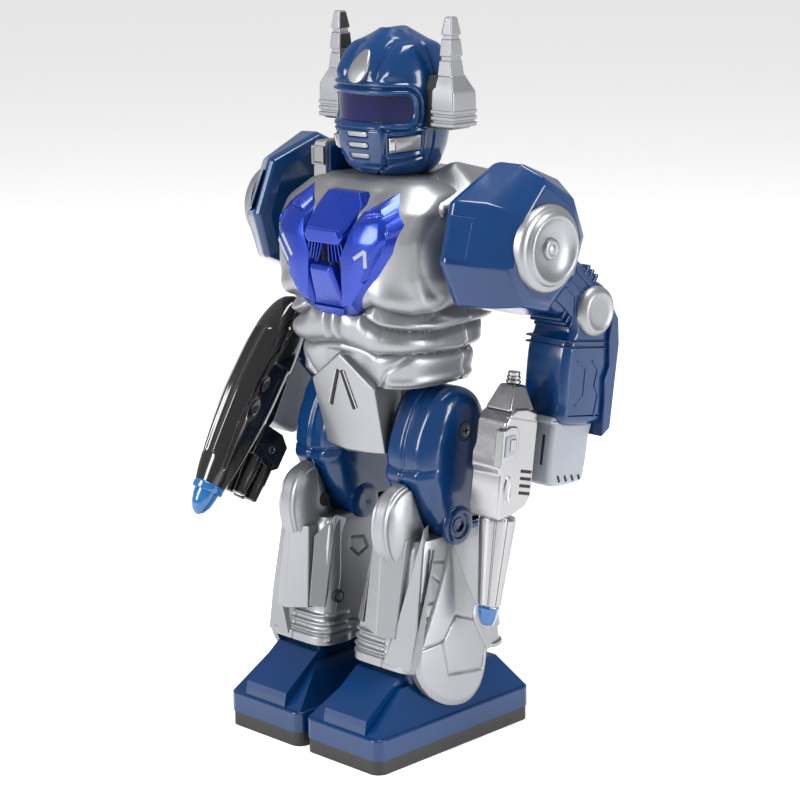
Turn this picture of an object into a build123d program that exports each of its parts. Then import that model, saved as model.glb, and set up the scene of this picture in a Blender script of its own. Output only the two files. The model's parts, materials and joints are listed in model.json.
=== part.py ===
"""Battery walking robot: hollow plastic shells round a torso, with turning head, swinging arms and stepping legs.

Row frame: +X is the robot's left, +Y its back, +Z up. The origin is on the floor, midway between the feet.
"""

import os
from math import cos, pi, radians, sin

from build123d import *

# ---- walls and clearances ----
wall = 2.0
running = 0.05  # radial clearance of a shaft in its bearing
gap = 0.4  # between pieces that move past each other

# ---- feet ----
foot_width = 47.6
foot_length = 99.5
foot_gap = 2.6
foot_corner = 5.0
sole_height = 6.6
slab_height = 9.6
slab_top = sole_height + slab_height
lip = 0.4
roof_top = 33.0
ankle_top = 52.0
toe_front_z = 22.5
toe_back_z = 37.0
roller_radius = 4.5
roller_length = 22.0
roller_y = -20.0
axle_radius = 1.25
lug_width = 3.0

# ---- legs ----
leg_x = 28.2  # parting plane of each leg
thigh_inner_x = 14.2
thigh_outer_x = 44.4
hip_y, hip_z = 11.5, 143.0
knee_y, knee_z = 6.2, 101.0
hip_barrel_radius = 19.5
knee_hub_radius = 7.5
knee_hub_proud = 0.8
knee_pin_radius = 2.5
tongue_width = 7.8
hip_shaft_radius = 3.0
shin_bottom = 40.0
shin_top = 92.0
tongue_swing = 34.0  # reach of the kneecap about the knee, with clearance

# ---- torso ----
torso_bottom = 164.0
torso_top = 251.5
torso_back = 48.0
shoulder_y, shoulder_z = 17.5, 229.0
bearing_inner_x = 43.5
bearing_outer_x = 51.0
shoulder_shaft_radius = 7.0
pelvis_half = 13.2
pelvis_bottom = 128.0
torso_screw_spots = ((-33.5, 178), (33.5, 178), (-40, 207), (40, 207))
screw_radius, screw_head_radius = 1.3, 2.6
screw_head_y = 21.5
neck_y = 16.5
neck_radius = 9.0

# ---- battery and drive ----
battery_radius = 7.25
battery_length = 50.5
battery_count = 3
battery_pitch = 14.8
battery_y = 36.5
battery_z = 225.5
door_width, door_height, door_thickness = 58.0, 44.0, 2.0
switch_z = 200.0
crank_y, crank_z = 11.5, 172.0
gear_module = 0.75
wheel_teeth, pinion_teeth = 36, 12
gear_width = 3.6
backlash = 0.25
crank_throw = 2.5
crank_radius = 4.5
plate_x, plate_thickness = 9.2, 1.8
motor_radius, motor_length = 10.2, 21.5
lever_x, lever_thickness = 6.0, 2.2

# ---- head ----
head_front, head_back = -8.0, 36.0
head_half_width = 25.0
head_seam_y = 14.0

# ---- arms ----
arm_x = 68.0
arm_width = 20.0
tongue_half = 5.0
pad_inner_x, pad_outer_x = 53.5, 82.0
pad_radius = 31.5
cap_radius = 19.0
upper_length = 51.2
elbow_radius = 12.0
elbow_pin_radius = 3.0
fore_half_width = 12.5
fore_length = 48.0
hand_length = 30.0
hand_front = -15.0
upper_angle = {"left": 47.8, "right": 37.5}  # degrees behind straight down
fore_angle = {"left": -8.5, "right": -42.0}

os.makedirs("parts", exist_ok=True)


def save(part, name):
    """Writes one node."""
    part.label = name
    export_step(part, f"parts/{name}.step")


def save_pair(part, name):
    """Writes the left piece and its mirror image on the right."""
    save(part, "left_" + name)
    save(part.mirror(Plane.YZ), "right_" + name)


def side_plane(x):
    """Plane across the robot at x, with sketch axes along Y and Z."""
    return Plane(origin=(x, 0, 0), x_dir=(0, 1, 0), z_dir=(1, 0, 0))


def rod(y, z, radius, low, high):
    """Round bar along X from low to high."""
    with BuildPart() as bar:
        with BuildSketch(side_plane(low)):
            with Locations((y, z)):
                Circle(radius)
        extrude(amount=high - low)
    return bar.part


def block(x_range, y_range, z_range):
    """Box between two corners."""
    with BuildPart() as box:
        with BuildSketch(Plane.XY.offset(z_range[0])):
            with Locations(((x_range[0] + x_range[1]) / 2, (y_range[0] + y_range[1]) / 2)):
                Rectangle(x_range[1] - x_range[0], y_range[1] - y_range[0])
        extrude(amount=z_range[1] - z_range[0])
    return box.part


def tower(levels, inset):
    """Ruled body through rounded rectangles, each (z, middle x, half width, front y, back y, corner)."""
    with BuildPart() as body:
        for number, (z, middle, half, front, back, corner) in enumerate(levels):
            shift = inset if number == 0 else -inset if number == len(levels) - 1 else 0
            with BuildSketch(Plane.XY.offset(z + shift)):
                with Locations((middle, (front + back) / 2)):
                    RectangleRounded(2 * (half - inset), back - front - 2 * inset, corner - inset)
        loft(ruled=True)
    return body.part


# ---------------------------------------------------------------- feet

foot_x = foot_gap / 2 + foot_width / 2


def foot_sole():
    """Black tray with a roller window and two bearing lugs."""
    with BuildPart() as sole:
        with BuildSketch(Plane.XY):
            with Locations((foot_x, 0)):
                RectangleRounded(foot_width - 2 * lip, foot_length - 2 * lip, foot_corner)
        extrude(amount=sole_height)
        with BuildSketch(Plane.XY.offset(wall)):
            with Locations((foot_x, 0)):
                RectangleRounded(foot_width - 2 * lip - 2 * wall, foot_length - 2 * lip - 2 * wall, foot_corner - wall)
        extrude(amount=sole_height, mode=Mode.SUBTRACT)
        with BuildSketch(Plane.XY):
            with Locations((foot_x, roller_y)):
                Rectangle(roller_length + 2, 2 * roller_radius + 2)
        extrude(amount=sole_height, mode=Mode.SUBTRACT)
        with BuildSketch(Plane.XY):
            with Locations((foot_x, roller_y)):
                with GridLocations(roller_length + 2 + lug_width, 1, 2, 1):
                    Rectangle(lug_width, 8)
        extrude(amount=sole_height)
        axle_end = roller_length / 2 + 1 + lug_width
        add(
            rod(roller_y, roller_radius, axle_radius + running, foot_x - axle_end, foot_x + axle_end),
            mode=Mode.SUBTRACT,
        )
    return sole.part


def foot_roller():
    """Roller under the foot, with a stub axle at each end."""
    with BuildPart() as roller:
        with BuildSketch(side_plane(foot_x)):
            with Locations((roller_y, roller_radius)):
                Circle(roller_radius)
        extrude(amount=roller_length / 2, both=True)
        chamfer(roller.edges().filter_by(GeomType.CIRCLE), 0.5)
        with BuildSketch(side_plane(foot_x)):
            with Locations((roller_y, roller_radius)):
                Circle(axle_radius)
        extrude(amount=roller_length / 2 + 1 + lug_width, both=True)
    return roller.part


def foot_roof(inset):
    """The sloping body above the slab, taken in by inset on every side."""
    with BuildPart() as roof:
        with BuildSketch(Plane.XY.offset(slab_top - 0.5 - inset)):
            with Locations((foot_x, 0)):
                Rectangle(foot_width - 3 - 2 * inset, foot_length - 3 - 2 * inset)
        with BuildSketch(Plane.XY.offset(roof_top - inset)):
            with Locations((foot_x + 1.5, 3)):
                Rectangle(29 - 2 * inset, 62 - 2 * inset)
        loft(ruled=True)
    return roof.part


def foot_upper():
    """Blue upper: slab with a lip, sloping roof, toe block and the ankle that the shin sits on."""
    with BuildPart() as upper:
        with BuildSketch(Plane.XY.offset(sole_height)):
            with Locations((foot_x, 0)):
                RectangleRounded(foot_width, foot_length, foot_corner)
        extrude(amount=slab_height)
        fillet(upper.faces().sort_by(Axis.Z)[-1].edges(), 1.0)
        add(foot_roof(0))
        with BuildSketch(side_plane(foot_x + 0.6)):
            with BuildLine():
                Polyline(
                    (-foot_length / 2 + 1.5, slab_top - 1), (-foot_length / 2 + 2.2, toe_front_z - 3),
                    (-foot_length / 2 + 2.9, toe_front_z), (-27, toe_back_z), (-22, toe_back_z),
                    (-22, slab_top - 1), close=True,
                )
            make_face()
        extrude(amount=13.0, both=True)
        with BuildSketch(Plane.XY.offset(roof_top - 8)):
            with Locations((leg_x, 4)):
                RectangleRounded(26, 52, 3)
        extrude(amount=ankle_top - roof_top + 8)
        with BuildSketch(Plane.XY.offset(sole_height)):
            with Locations((foot_x, 0)):
                RectangleRounded(foot_width - 2 * wall, foot_length - 2 * wall, foot_corner - wall)
        extrude(amount=slab_height - wall, mode=Mode.SUBTRACT)
        add(foot_roof(wall), mode=Mode.SUBTRACT)
    return upper.part


save_pair(foot_sole(), "foot_sole")
save_pair(foot_roller(), "foot_roller")
save_pair(foot_upper(), "foot_upper")


# ---------------------------------------------------------------- legs

def shin_body(inset):
    """Bell-bottomed body of the shin, taken in by inset on every side."""
    with BuildPart() as body:
        with BuildSketch(Plane.XY.offset(shin_bottom - (1 if inset else 0))):
            with Locations((27.7, 4)):
                RectangleRounded(39.5 - 2 * inset, 62 - 2 * inset, 6 - inset)
        with BuildSketch(Plane.XY.offset(shin_top - inset)):
            with Locations((leg_x + 0.5, 5)):
                RectangleRounded(30 - 2 * inset, 46 - 2 * inset, 6 - inset)
        loft(ruled=True)
    return body.part


def ankle_seat():
    """Floor across the inside of the shin that rests on the ankle."""
    with BuildPart() as seat:
        add(shin_body(wall / 2))
        add(block((0, 60), (-40, 50), (ankle_top, ankle_top + wall)), mode=Mode.INTERSECT)
    return seat.part


def shin():
    """Both halves of the silver shin as one: body, kneecap tongue, shin panel and side fender."""
    with BuildPart() as leg:
        add(shin_body(0))
        # raised panel down the front
        with BuildSketch(side_plane(leg_x)):
            with BuildLine():
                Polyline((-25.5, 55), (-28.5, 57), (-24.5, 90), (-10, 90), (-10, 55), close=True)
            make_face()
        extrude(amount=9, both=True)
        # fender on the outer side
        with BuildSketch(side_plane(thigh_outer_x - 6)):
            with BuildLine():
                Spline((2, 91.5), (-8, 76), (-18, 55), (-19, 38), (-9, 25), (3, 21), (14, 26), (20, 40), (15, 62), (8, 80), (2, 91.5))
            make_face()
        extrude(amount=11.6)
        add(shin_body(wall), mode=Mode.SUBTRACT)
        # seat on the ankle
        add(ankle_seat())
        add(foot_upper(), mode=Mode.SUBTRACT)
        # kneecap and the tongue round the knee pin
        with BuildSketch(side_plane(leg_x)):
            with BuildLine():
                Polyline((-15.5, 84), (-22, 84))
                Spline((-22, 84), (-26.5, 98), (-25, 110), (-15.5, 121.5))
                Line((-15.5, 121.5), (-6, 112))
                Line((-6, 112), (-6, 84))
                Line((-6, 84), (-15.5, 84))
            make_face()
            with Locations((knee_y - 4, (knee_z + shin_top) / 2 - 3)):
                Rectangle(knee_hub_radius * 2 + 8, knee_z - shin_top + 12)
            with Locations((knee_y, knee_z)):
                Circle(knee_hub_radius - 0.5)
        extrude(amount=tongue_width / 2, both=True)
        with BuildSketch(side_plane(0)):
            with Locations((knee_y, knee_z)):
                Circle(knee_pin_radius + running)
        extrude(amount=60, mode=Mode.SUBTRACT)
    return leg.part


def thigh_prism(inset, low, high):
    """Side outline of the thigh between two X values: hip barrel, front swell and knee hub."""
    with BuildPart() as prism:
        with BuildSketch(side_plane(low)):
            with BuildLine():
                Polyline(
                    (hip_y - 18, hip_z + 7.5), (-12.5, 136), (-13, 123), (knee_y - 6.2, knee_z - 4.2),
                    (knee_y, knee_z - knee_hub_radius), (28, 97), (29, 112), (hip_y + 19, hip_z - 6),
                    (hip_y, hip_z + 19), close=True,
                )
            make_face()
            with Locations((hip_y, hip_z)):
                Circle(hip_barrel_radius)
            with Locations((knee_y, knee_z)):
                Circle(knee_hub_radius)
            if inset:
                offset(amount=-inset)
        extrude(amount=high - low)
    return prism.part


def thigh():
    """Both halves of the blue thigh as one, slotted for the shin's tongue."""
    slot = (leg_x - tongue_width / 2 - gap, leg_x + tongue_width / 2 + gap)
    hub_low, hub_high = thigh_inner_x - knee_hub_proud, thigh_outer_x + knee_hub_proud
    with BuildPart() as leg:
        add(thigh_prism(0, thigh_inner_x, thigh_outer_x))
        add(thigh_prism(wall, thigh_inner_x + wall, thigh_outer_x - wall), mode=Mode.SUBTRACT)
        # solid cheeks either side of the tongue, with their hubs
        add(rod(knee_y, knee_z, knee_hub_radius, hub_low, hub_high))
        # slot for the tongue, the kneecap and the top of the shin
        add(rod(knee_y, knee_z, tongue_swing, *slot), mode=Mode.SUBTRACT)
        add(block(slot, (-40, knee_y), (knee_z - 20, knee_z + 12)), mode=Mode.SUBTRACT)
        add(rod(knee_y, knee_z, 4.2, hub_high - 3, hub_high + 1), mode=Mode.SUBTRACT)
        add(rod(knee_y, knee_z, 4.2, hub_low - 1, hub_low + 3), mode=Mode.SUBTRACT)
        add(rod(knee_y, knee_z, knee_pin_radius, 0, 60), mode=Mode.SUBTRACT)
        # boss that the hip shaft is pressed in, and the recess of the screw that holds it
        add(rod(hip_y, hip_z, hip_shaft_radius + 3, thigh_inner_x, thigh_outer_x))
        add(rod(hip_y, hip_z, hip_shaft_radius, 0, thigh_outer_x - 4), mode=Mode.SUBTRACT)
        add(rod(hip_y, hip_z, 4.0, thigh_outer_x - 3, thigh_outer_x + 2), mode=Mode.SUBTRACT)
        add(rod(hip_y, hip_z, 1.4, thigh_outer_x - 5, thigh_outer_x), mode=Mode.SUBTRACT)
    return leg.part


def halves(part, name):
    """Cuts a leg shell at its parting plane and writes the outer and inner halves of both legs."""
    for half, keep in (("outer", Keep.TOP), ("inner", Keep.BOTTOM)):
        with BuildPart() as piece:
            add(part)
            split(bisect_by=side_plane(leg_x), keep=keep)
        save_pair(piece.part.solids().sort_by(SortBy.VOLUME)[-1], f"{name}_{half}_shell")


def hip_shaft():
    """Shaft that turns the thigh, with the forked lever round the crank."""
    window = crank_throw + crank_radius + crank_throw + gap
    with BuildPart() as shaft:
        with BuildSketch(side_plane(lever_x)):
            with Locations((hip_y, hip_z)):
                Circle(hip_shaft_radius)
        extrude(amount=thigh_outer_x - 4 - lever_x)
        with BuildSketch(side_plane(lever_x)):
            with BuildLine():
                Polyline(
                    (hip_y - 5, hip_z), (crank_y - window - wall, crank_z - window), (crank_y - window - wall, crank_z + 5),
                    (crank_y + window + wall, crank_z + 5), (crank_y + window + wall, crank_z - window), (hip_y + 5, hip_z),
                    close=True,
                )
            make_face()
            with Locations((hip_y, hip_z)):
                Circle(5)
            with Locations((crank_y, crank_z + 2)):
                Rectangle(2 * window, 2 * (crank_radius + crank_throw + 2 + gap), mode=Mode.SUBTRACT)
        extrude(amount=lever_thickness)
    return shaft.part


halves(shin(), "shin")
halves(thigh(), "thigh")
save_pair(rod(knee_y, knee_z, knee_pin_radius, thigh_inner_x + 3, thigh_outer_x - 3), "knee_pin")
save_pair(hip_shaft(), "hip_shaft")


# ---------------------------------------------------------------- torso shells

torso_levels = (
    (torso_bottom, 0, 36, -19, 28, 14),
    (182, 0, 39, -24, 34, 14),
    (197, 0, 42, -25, torso_back, 14),
    (214, 0, 48, -25, torso_back, 14),
    (240, 0, 49, -24, torso_back, 14),
    (torso_top, 0, 36, -10, torso_back, 12),
)


def pelvis_body(inset, top):
    """Block between the thighs, taken in by inset."""
    with BuildPart() as body:
        with BuildSketch(side_plane(0)):
            with BuildLine():
                Polyline(
                    (-19 + inset, top), (-19 + inset, 160), (-11 + inset, pelvis_bottom + inset),
                    (27 - inset, pelvis_bottom + inset), (28 - inset, top), close=True,
                )
            make_face()
        extrude(amount=pelvis_half - inset, both=True)
    return body.part


def screw_bosses():
    """Tubes along Y for the four screws that hold the halves of the trunk together."""
    with BuildPart() as bosses:
        for screw_x, screw_z in torso_screw_spots:
            with BuildSketch(Plane.XZ.offset(-screw_head_y + 12)):
                with Locations((screw_x, screw_z)):
                    Circle(screw_head_radius + 1.4)
            extrude(amount=-60)
        add(tower(torso_levels, 0), mode=Mode.INTERSECT)
        for screw_x, screw_z in torso_screw_spots:
            with BuildSketch(Plane.XZ.offset(-screw_head_y)):
                with Locations((screw_x, screw_z)):
                    Circle(screw_head_radius + 0.1)
            extrude(amount=-60, mode=Mode.SUBTRACT)
            with BuildSketch(Plane.XZ.offset(-screw_head_y)):
                with Locations((screw_x, screw_z)):
                    Circle(screw_radius)
            extrude(amount=20, mode=Mode.SUBTRACT)
    return bosses.part


def screw_tunnels():
    """What the heads of the trunk's screws are reached through."""
    with BuildPart() as tunnels:
        for screw_x, screw_z in torso_screw_spots:
            with BuildSketch(Plane.XZ.offset(-screw_head_y)):
                with Locations((screw_x, screw_z)):
                    Circle(screw_head_radius + 0.1)
            extrude(amount=-60)
    return tunnels.part


def torso():
    """Both halves of the silver trunk as one hollow shell with its bearings."""
    bearing = shoulder_shaft_radius + 4
    with BuildPart() as trunk:
        add(tower(torso_levels, 0))
        add(pelvis_body(0, torso_bottom + wall))
        add(rod(shoulder_y, shoulder_z, bearing, -bearing_outer_x, bearing_outer_x))
        add(tower(torso_levels, wall), mode=Mode.SUBTRACT)
        add(pelvis_body(wall, torso_bottom + wall + 2), mode=Mode.SUBTRACT)
        add(rod(shoulder_y, shoulder_z, bearing, bearing_inner_x, bearing_outer_x))
        add(rod(shoulder_y, shoulder_z, bearing, -bearing_outer_x, -bearing_inner_x))
        add(rod(shoulder_y, shoulder_z, shoulder_shaft_radius + running, -60, 60), mode=Mode.SUBTRACT)
        add(rod(hip_y, hip_z, hip_shaft_radius + running, -60, 60), mode=Mode.SUBTRACT)
        add(screw_tunnels(), mode=Mode.SUBTRACT)
        add(screw_bosses())
        # neck bearing
        with BuildSketch(Plane.XY.offset(torso_top - 2 * wall)):
            with Locations((0, neck_y)):
                Circle(neck_radius + running)
        extrude(amount=3 * wall, mode=Mode.SUBTRACT)
        # battery doorway with the seat of the door, and the switch's slot
        half_width, half_height = door_width / 2, door_height / 2
        doorway = (battery_z - half_height, battery_z + half_height)
        add(
            block((-half_width, half_width), (torso_back - wall / 2, torso_back + 1), doorway),
            mode=Mode.SUBTRACT,
        )
        add(
            block((2 - half_width, half_width - 2), (battery_y, torso_back), (doorway[0] + 2, doorway[1] - 2)),
            mode=Mode.SUBTRACT,
        )
        add(block((-5, 5), (battery_y, torso_back + 1), (switch_z - 1.7, switch_z + 1.7)), mode=Mode.SUBTRACT)
    return trunk.part


def trunk_half(keep):
    """One half of the trunk at the seam."""
    with BuildPart() as half:
        add(torso())
        split(bisect_by=Plane.XZ.offset(-shoulder_y), keep=keep)
    return half.part


front_shell = trunk_half(Keep.TOP)
back_shell = trunk_half(Keep.BOTTOM)
with BuildPart() as torso_front_shell:
    add(front_shell)
    # speaker slots behind the chest plate
    for slot_x in range(-12, 13, 4):
        add(block((slot_x - 0.8, slot_x + 0.8), (-30, -15), (204, 218)), mode=Mode.SUBTRACT)
save(torso_front_shell.part, "torso_front_shell")
save(back_shell, "torso_back_shell")

with BuildPart() as chest_plate:
    with BuildSketch(Plane.XZ.offset(29)):
        with BuildLine():
            Polyline(
                (0, 196), (12, 200), (22, 220), (38, 232), (38, 237), (26, 243), (13, 237), (11, 241), (-11, 241),
                (-13, 237), (-26, 243), (-38, 237), (-38, 232), (-22, 220), (-12, 200), close=True,
            )
        make_face()
    extrude(amount=-15)
    add(tower(torso_levels, 0), mode=Mode.SUBTRACT)
save(chest_plate.part.solids().sort_by(SortBy.VOLUME)[-1], "chest_plate")

# ---------------------------------------------------------------- battery, door, switch, sound

door_screw_z = battery_z + door_height / 2 - 6
half_width, half_height = door_width / 2 - gap / 2, door_height / 2 - gap / 2
with BuildPart() as battery_door:
    add(
        block(
            (-half_width, half_width), (torso_back - wall / 2, torso_back + wall / 2),
            (battery_z - half_height, battery_z + half_height),
        )
    )
    chamfer(battery_door.faces().sort_by(Axis.Y)[-1].edges(), 0.5)
    with BuildSketch(Plane.XZ.offset(-torso_back - wall)):
        with Locations((0, door_screw_z)):
            Circle(1.5)
    extrude(amount=2 * wall, mode=Mode.SUBTRACT)
save(battery_door.part, "battery_door")

with BuildPart() as battery_door_screw:
    with BuildSketch(Plane.XZ.offset(-torso_back - wall / 2 - 1.2)):
        with Locations((0, door_screw_z)):
            Circle(3.0)
    extrude(amount=1.2)
    with BuildSketch(Plane.XZ.offset(-torso_back - wall / 2)):
        with Locations((0, door_screw_z)):
            Circle(1.5)
    extrude(amount=wall)
    with BuildSketch(Plane.XZ.offset(-torso_back - wall / 2 - 1.2)):
        with Locations((0, door_screw_z)):
            Rectangle(4, 0.9)
            Rectangle(0.9, 4)
    extrude(amount=0.7, mode=Mode.SUBTRACT)
save(battery_door_screw.part, "battery_door_screw")

battery_rows = [battery_z + battery_pitch * (row - (battery_count - 1) / 2) for row in range(battery_count)]
with BuildPart() as batteries:
    for row_z in battery_rows:
        add(rod(battery_y, row_z, battery_radius, -battery_length / 2, battery_length / 2 - 1.2))
        add(rod(battery_y, row_z, 2.75, battery_length / 2 - 1.2, battery_length / 2))
save(batteries.part, "batteries")

holder_half = battery_length / 2 + 2.4
holder_front = battery_y - battery_radius - 1.5
holder_z = (battery_rows[0] - battery_radius - 0.3, battery_rows[-1] + battery_radius + 0.3)
with BuildPart() as battery_holder:
    add(block((-holder_half, holder_half), (holder_front, torso_back - wall), (holder_z[0] - 1.5, holder_z[1])))
    add(
        block((1.5 - holder_half, holder_half - 1.5), (holder_front + 1.3, torso_back), (holder_z[0], holder_z[1] + 2)),
        mode=Mode.SUBTRACT,
    )
save(battery_holder.part, "battery_holder")

with BuildPart() as battery_contacts:
    for row_z in battery_rows:
        for side in (-1, 1):
            with BuildSketch(side_plane(side * (battery_length / 2 + 0.1))):
                with Locations((battery_y, row_z)):
                    Rectangle(8, 8)
            extrude(amount=side * 0.8)
save(battery_contacts.part, "battery_contacts")

with BuildPart() as power_switch:
    add(block((-3.2, 1.2), (torso_back - wall - 3, torso_back + 1.6), (switch_z - 1.5, switch_z + 1.5)))
save(power_switch.part, "power_switch_knob")

with BuildPart() as speaker:
    with BuildSketch(Plane.XZ.offset(22.2)):
        with Locations((0, 211)):
            Circle(14)
    extrude(amount=-2.5)
    with BuildSketch(Plane.XZ.offset(19.7)):
        with Locations((0, 211)):
            Circle(8)
    extrude(amount=-4)
save(speaker.part, "speaker")

with BuildPart() as circuit_board:
    add(block((-44, 44), (-9, -7.4), (210, 226)))
    add(block((-8, 8), (-7.4, -5.6), (212, 222)))
save(circuit_board.part, "circuit_board")

# ---------------------------------------------------------------- motor and gears

reduction_lean = 18.0
centre_distance = gear_module * (wheel_teeth + pinion_teeth) / 2
reduction_y = crank_y + centre_distance * sin(radians(reduction_lean))
reduction_z = crank_z + centre_distance * cos(radians(reduction_lean))
motor_lean = -20.0
motor_y = reduction_y + centre_distance * sin(radians(motor_lean))
motor_z = reduction_z + centre_distance * cos(radians(motor_lean))
crank_gear_x = -3.8
reduction_gear_x = 0.4


def gear(teeth, y, z, low, high, phase):
    """Spur gear along X; phase is the angle, in degrees from +Y, that one tooth points along."""
    pitch = gear_module * teeth / 2
    root, tip = pitch - 1.15 * gear_module, pitch + 0.75 * gear_module
    half_pitch = gear_module * pi / 4 - backlash
    with BuildPart() as wheel:
        with BuildSketch(side_plane(low)):
            with Locations((y, z)):
                Circle(root)
                with PolarLocations(0, teeth, start_angle=phase):
                    Polygon(
                        (root - 0.3, -1.3 * half_pitch), (pitch, -0.85 * half_pitch), (tip, -0.38 * half_pitch),
                        (tip, 0.38 * half_pitch), (pitch, 0.85 * half_pitch), (root - 0.3, 1.3 * half_pitch),
                        align=None,
                    )
        extrude(amount=high - low)
    return wheel.part


plate_outer_x = plate_x + plate_thickness
axle = 1.5
half_tooth = 180 / pinion_teeth
with BuildPart() as crank_shaft:
    crank_gear_high = crank_gear_x + gear_width
    add(gear(wheel_teeth, crank_y, crank_z, crank_gear_x, crank_gear_high, 90 - reduction_lean))
    add(rod(crank_y, crank_z, axle, -plate_outer_x, plate_outer_x))
    for side in (-1, 1):
        inner, outer = lever_x - 0.3, lever_x + lever_thickness + 0.3
        low, high = min(side * inner, side * outer), max(side * inner, side * outer)
        add(rod(crank_y, crank_z + side * crank_throw, crank_radius, low, high))
save(crank_shaft.part, "crank_shaft")

with BuildPart() as reduction_gear:
    pinion_phase = 90 - reduction_lean + 180 + half_tooth
    add(gear(pinion_teeth, reduction_y, reduction_z, crank_gear_x, reduction_gear_x, pinion_phase))
    wheel_high = reduction_gear_x + gear_width
    add(gear(wheel_teeth, reduction_y, reduction_z, reduction_gear_x, wheel_high, 90 - motor_lean))
    add(rod(reduction_y, reduction_z, axle, -plate_outer_x, plate_outer_x))
save(reduction_gear.part, "reduction_gear")

with BuildPart() as motor_pinion:
    pinion_phase = 90 - motor_lean + 180 + half_tooth
    add(gear(pinion_teeth, motor_y, motor_z, reduction_gear_x, reduction_gear_x + gear_width, pinion_phase))
    add(rod(motor_y, motor_z, 1.0, reduction_gear_x, plate_outer_x + 8))
save(motor_pinion.part, "motor_pinion")

with BuildPart() as motor:
    add(rod(motor_y, motor_z, motor_radius, plate_outer_x, plate_outer_x + motor_length))
    add(rod(motor_y, motor_z, 4, plate_outer_x + motor_length, plate_outer_x + motor_length + 2))
    add(rod(motor_y, motor_z, 1.0 + running, plate_outer_x - 1, plate_outer_x + 9), mode=Mode.SUBTRACT)
save(motor.part, "motor")

with BuildPart() as gearbox_frame:
    for side in (-1, 1):
        with BuildSketch(side_plane(side * plate_x)):
            with BuildLine():
                Polyline(
                    (-8, pelvis_bottom + wall + 1), (24, pelvis_bottom + wall + 1), (25, 164), (26.5, 180), (26.5, 212),
                    (20, 216), (0, 216), (-5, 204), (-5, 180), (-13, 163), close=True,
                )
            make_face()
        extrude(amount=side * plate_thickness)
    for bar_y, bar_z in ((-5, 134), (21, 134), (-2, 200), (24, 209)):
        add(rod(bar_y, bar_z, 1.8, -plate_x, plate_x))
    add(rod(hip_y, hip_z, hip_shaft_radius + running, -20, 20), mode=Mode.SUBTRACT)
    add(rod(crank_y, crank_z, axle + running, -20, 20), mode=Mode.SUBTRACT)
    add(rod(reduction_y, reduction_z, axle + running, -20, 20), mode=Mode.SUBTRACT)
    add(rod(motor_y, motor_z, 2.0, -20, 20), mode=Mode.SUBTRACT)
save(gearbox_frame.part, "gearbox_frame")

with BuildPart() as torso_screws:
    for screw_x, screw_z in torso_screw_spots:
        with BuildSketch(Plane.XZ.offset(-screw_head_y)):
            with Locations((screw_x, screw_z)):
                Circle(screw_radius)
        extrude(amount=11)
        with BuildSketch(Plane.XZ.offset(-screw_head_y)):
            with Locations((screw_x, screw_z)):
                Circle(screw_head_radius)
        extrude(amount=-1.8)
save(torso_screws.part, "torso_screws")

# ---------------------------------------------------------------- head

head_levels = (
    (253, 0, 13, -1, 26, 8),
    (258, 0, 20, -5, 32, 10),
    (268, 0, 23.5, head_front, 35, 12),
    (285, 0, head_half_width, head_front, head_back, 13),
    (298, 0, 24, -6, 35, 13),
    (308, 0, 19, 0, 30, 11),
    (314, 0, 10, 8, 23, 7),
)
head_bottom = head_levels[0][0]
visor_space = ((-26, 26), (head_front - 2, 6), (277, 290))

with BuildPart() as head:
    add(tower(head_levels, 0))
    add(tower(head_levels, wall), mode=Mode.SUBTRACT)
with BuildPart() as visor:
    add(head.part)
    add(block(*visor_space), mode=Mode.INTERSECT)
save(visor.part, "visor")
with BuildPart() as head_front_shell:
    add(head.part)
    split(bisect_by=Plane.XZ.offset(-head_seam_y), keep=Keep.TOP)
    add(block(*visor_space), mode=Mode.SUBTRACT)
save(head_front_shell.part, "head_front_shell")
with BuildPart() as head_back_shell:
    add(head.part)
    split(bisect_by=Plane.XZ.offset(-head_seam_y), keep=Keep.BOTTOM)
save(head_back_shell.part, "head_back_shell")

with BuildPart() as neck_post:
    with BuildSketch(Plane.XY.offset(torso_top - wall - 5.5)):
        with Locations((0, neck_y)):
            Circle(neck_radius + 2)
    extrude(amount=5)
    with BuildSketch(Plane.XY.offset(torso_top - wall - 5.5)):
        with Locations((0, neck_y)):
            Circle(neck_radius)
    extrude(amount=head_bottom - torso_top + wall + 5.5)
save(neck_post.part, "neck_post")

ear_levels = (
    (276, 36, 5, 9, 22, 2),
    (280, 36.5, 5, 8, 23, 2),
    (295, 36, 4.5, 8.5, 22.5, 2),
    (320, 34, 1.4, 13.6, 16.6, 0.6),
)
with BuildPart() as ear:
    add(tower(ear_levels, 0))
    add(block((head_half_width - 3, 33), (11, 20), (279, 291)))
    add(tower(head_levels, 0), mode=Mode.SUBTRACT)
save_pair(ear.part, "ear_antenna")


# ---------------------------------------------------------------- arms

def place(part, side, y, z, angle):
    """Turns an arm piece about X, moves its own axis to (y, z) and mirrors it for the right arm."""
    placed = Location((0, y, z), (angle, 0, 0)) * part
    return placed if side == "left" else placed.mirror(Plane.YZ)


def pad_dome(inset):
    """Faceted dome of the shoulder pad about its own axis."""
    with BuildPart() as dome:
        for number, (x, radius) in enumerate(((pad_inner_x, 29), (59, pad_radius), (70, pad_radius), (pad_outer_x, 26.5))):
            shift = -1 if inset and number == 0 else -inset if number == 3 else 0
            with BuildSketch(side_plane(x + shift)):
                RegularPolygon(radius - inset, 8, rotation=22.5)
        loft(ruled=True)
    return dome.part


def limb(low, high):
    """Side outline of the upper arm between two X values."""
    with BuildPart() as body:
        with BuildSketch(side_plane(low)):
            with BuildLine():
                Polyline((-13, -6), (-elbow_radius, -upper_length), (elbow_radius, -upper_length), (13, -6), close=True)
            make_face()
            Circle(15)
            with Locations((0, -upper_length)):
                Circle(elbow_radius - 0.4)
        extrude(amount=high - low)
    return body.part


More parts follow.
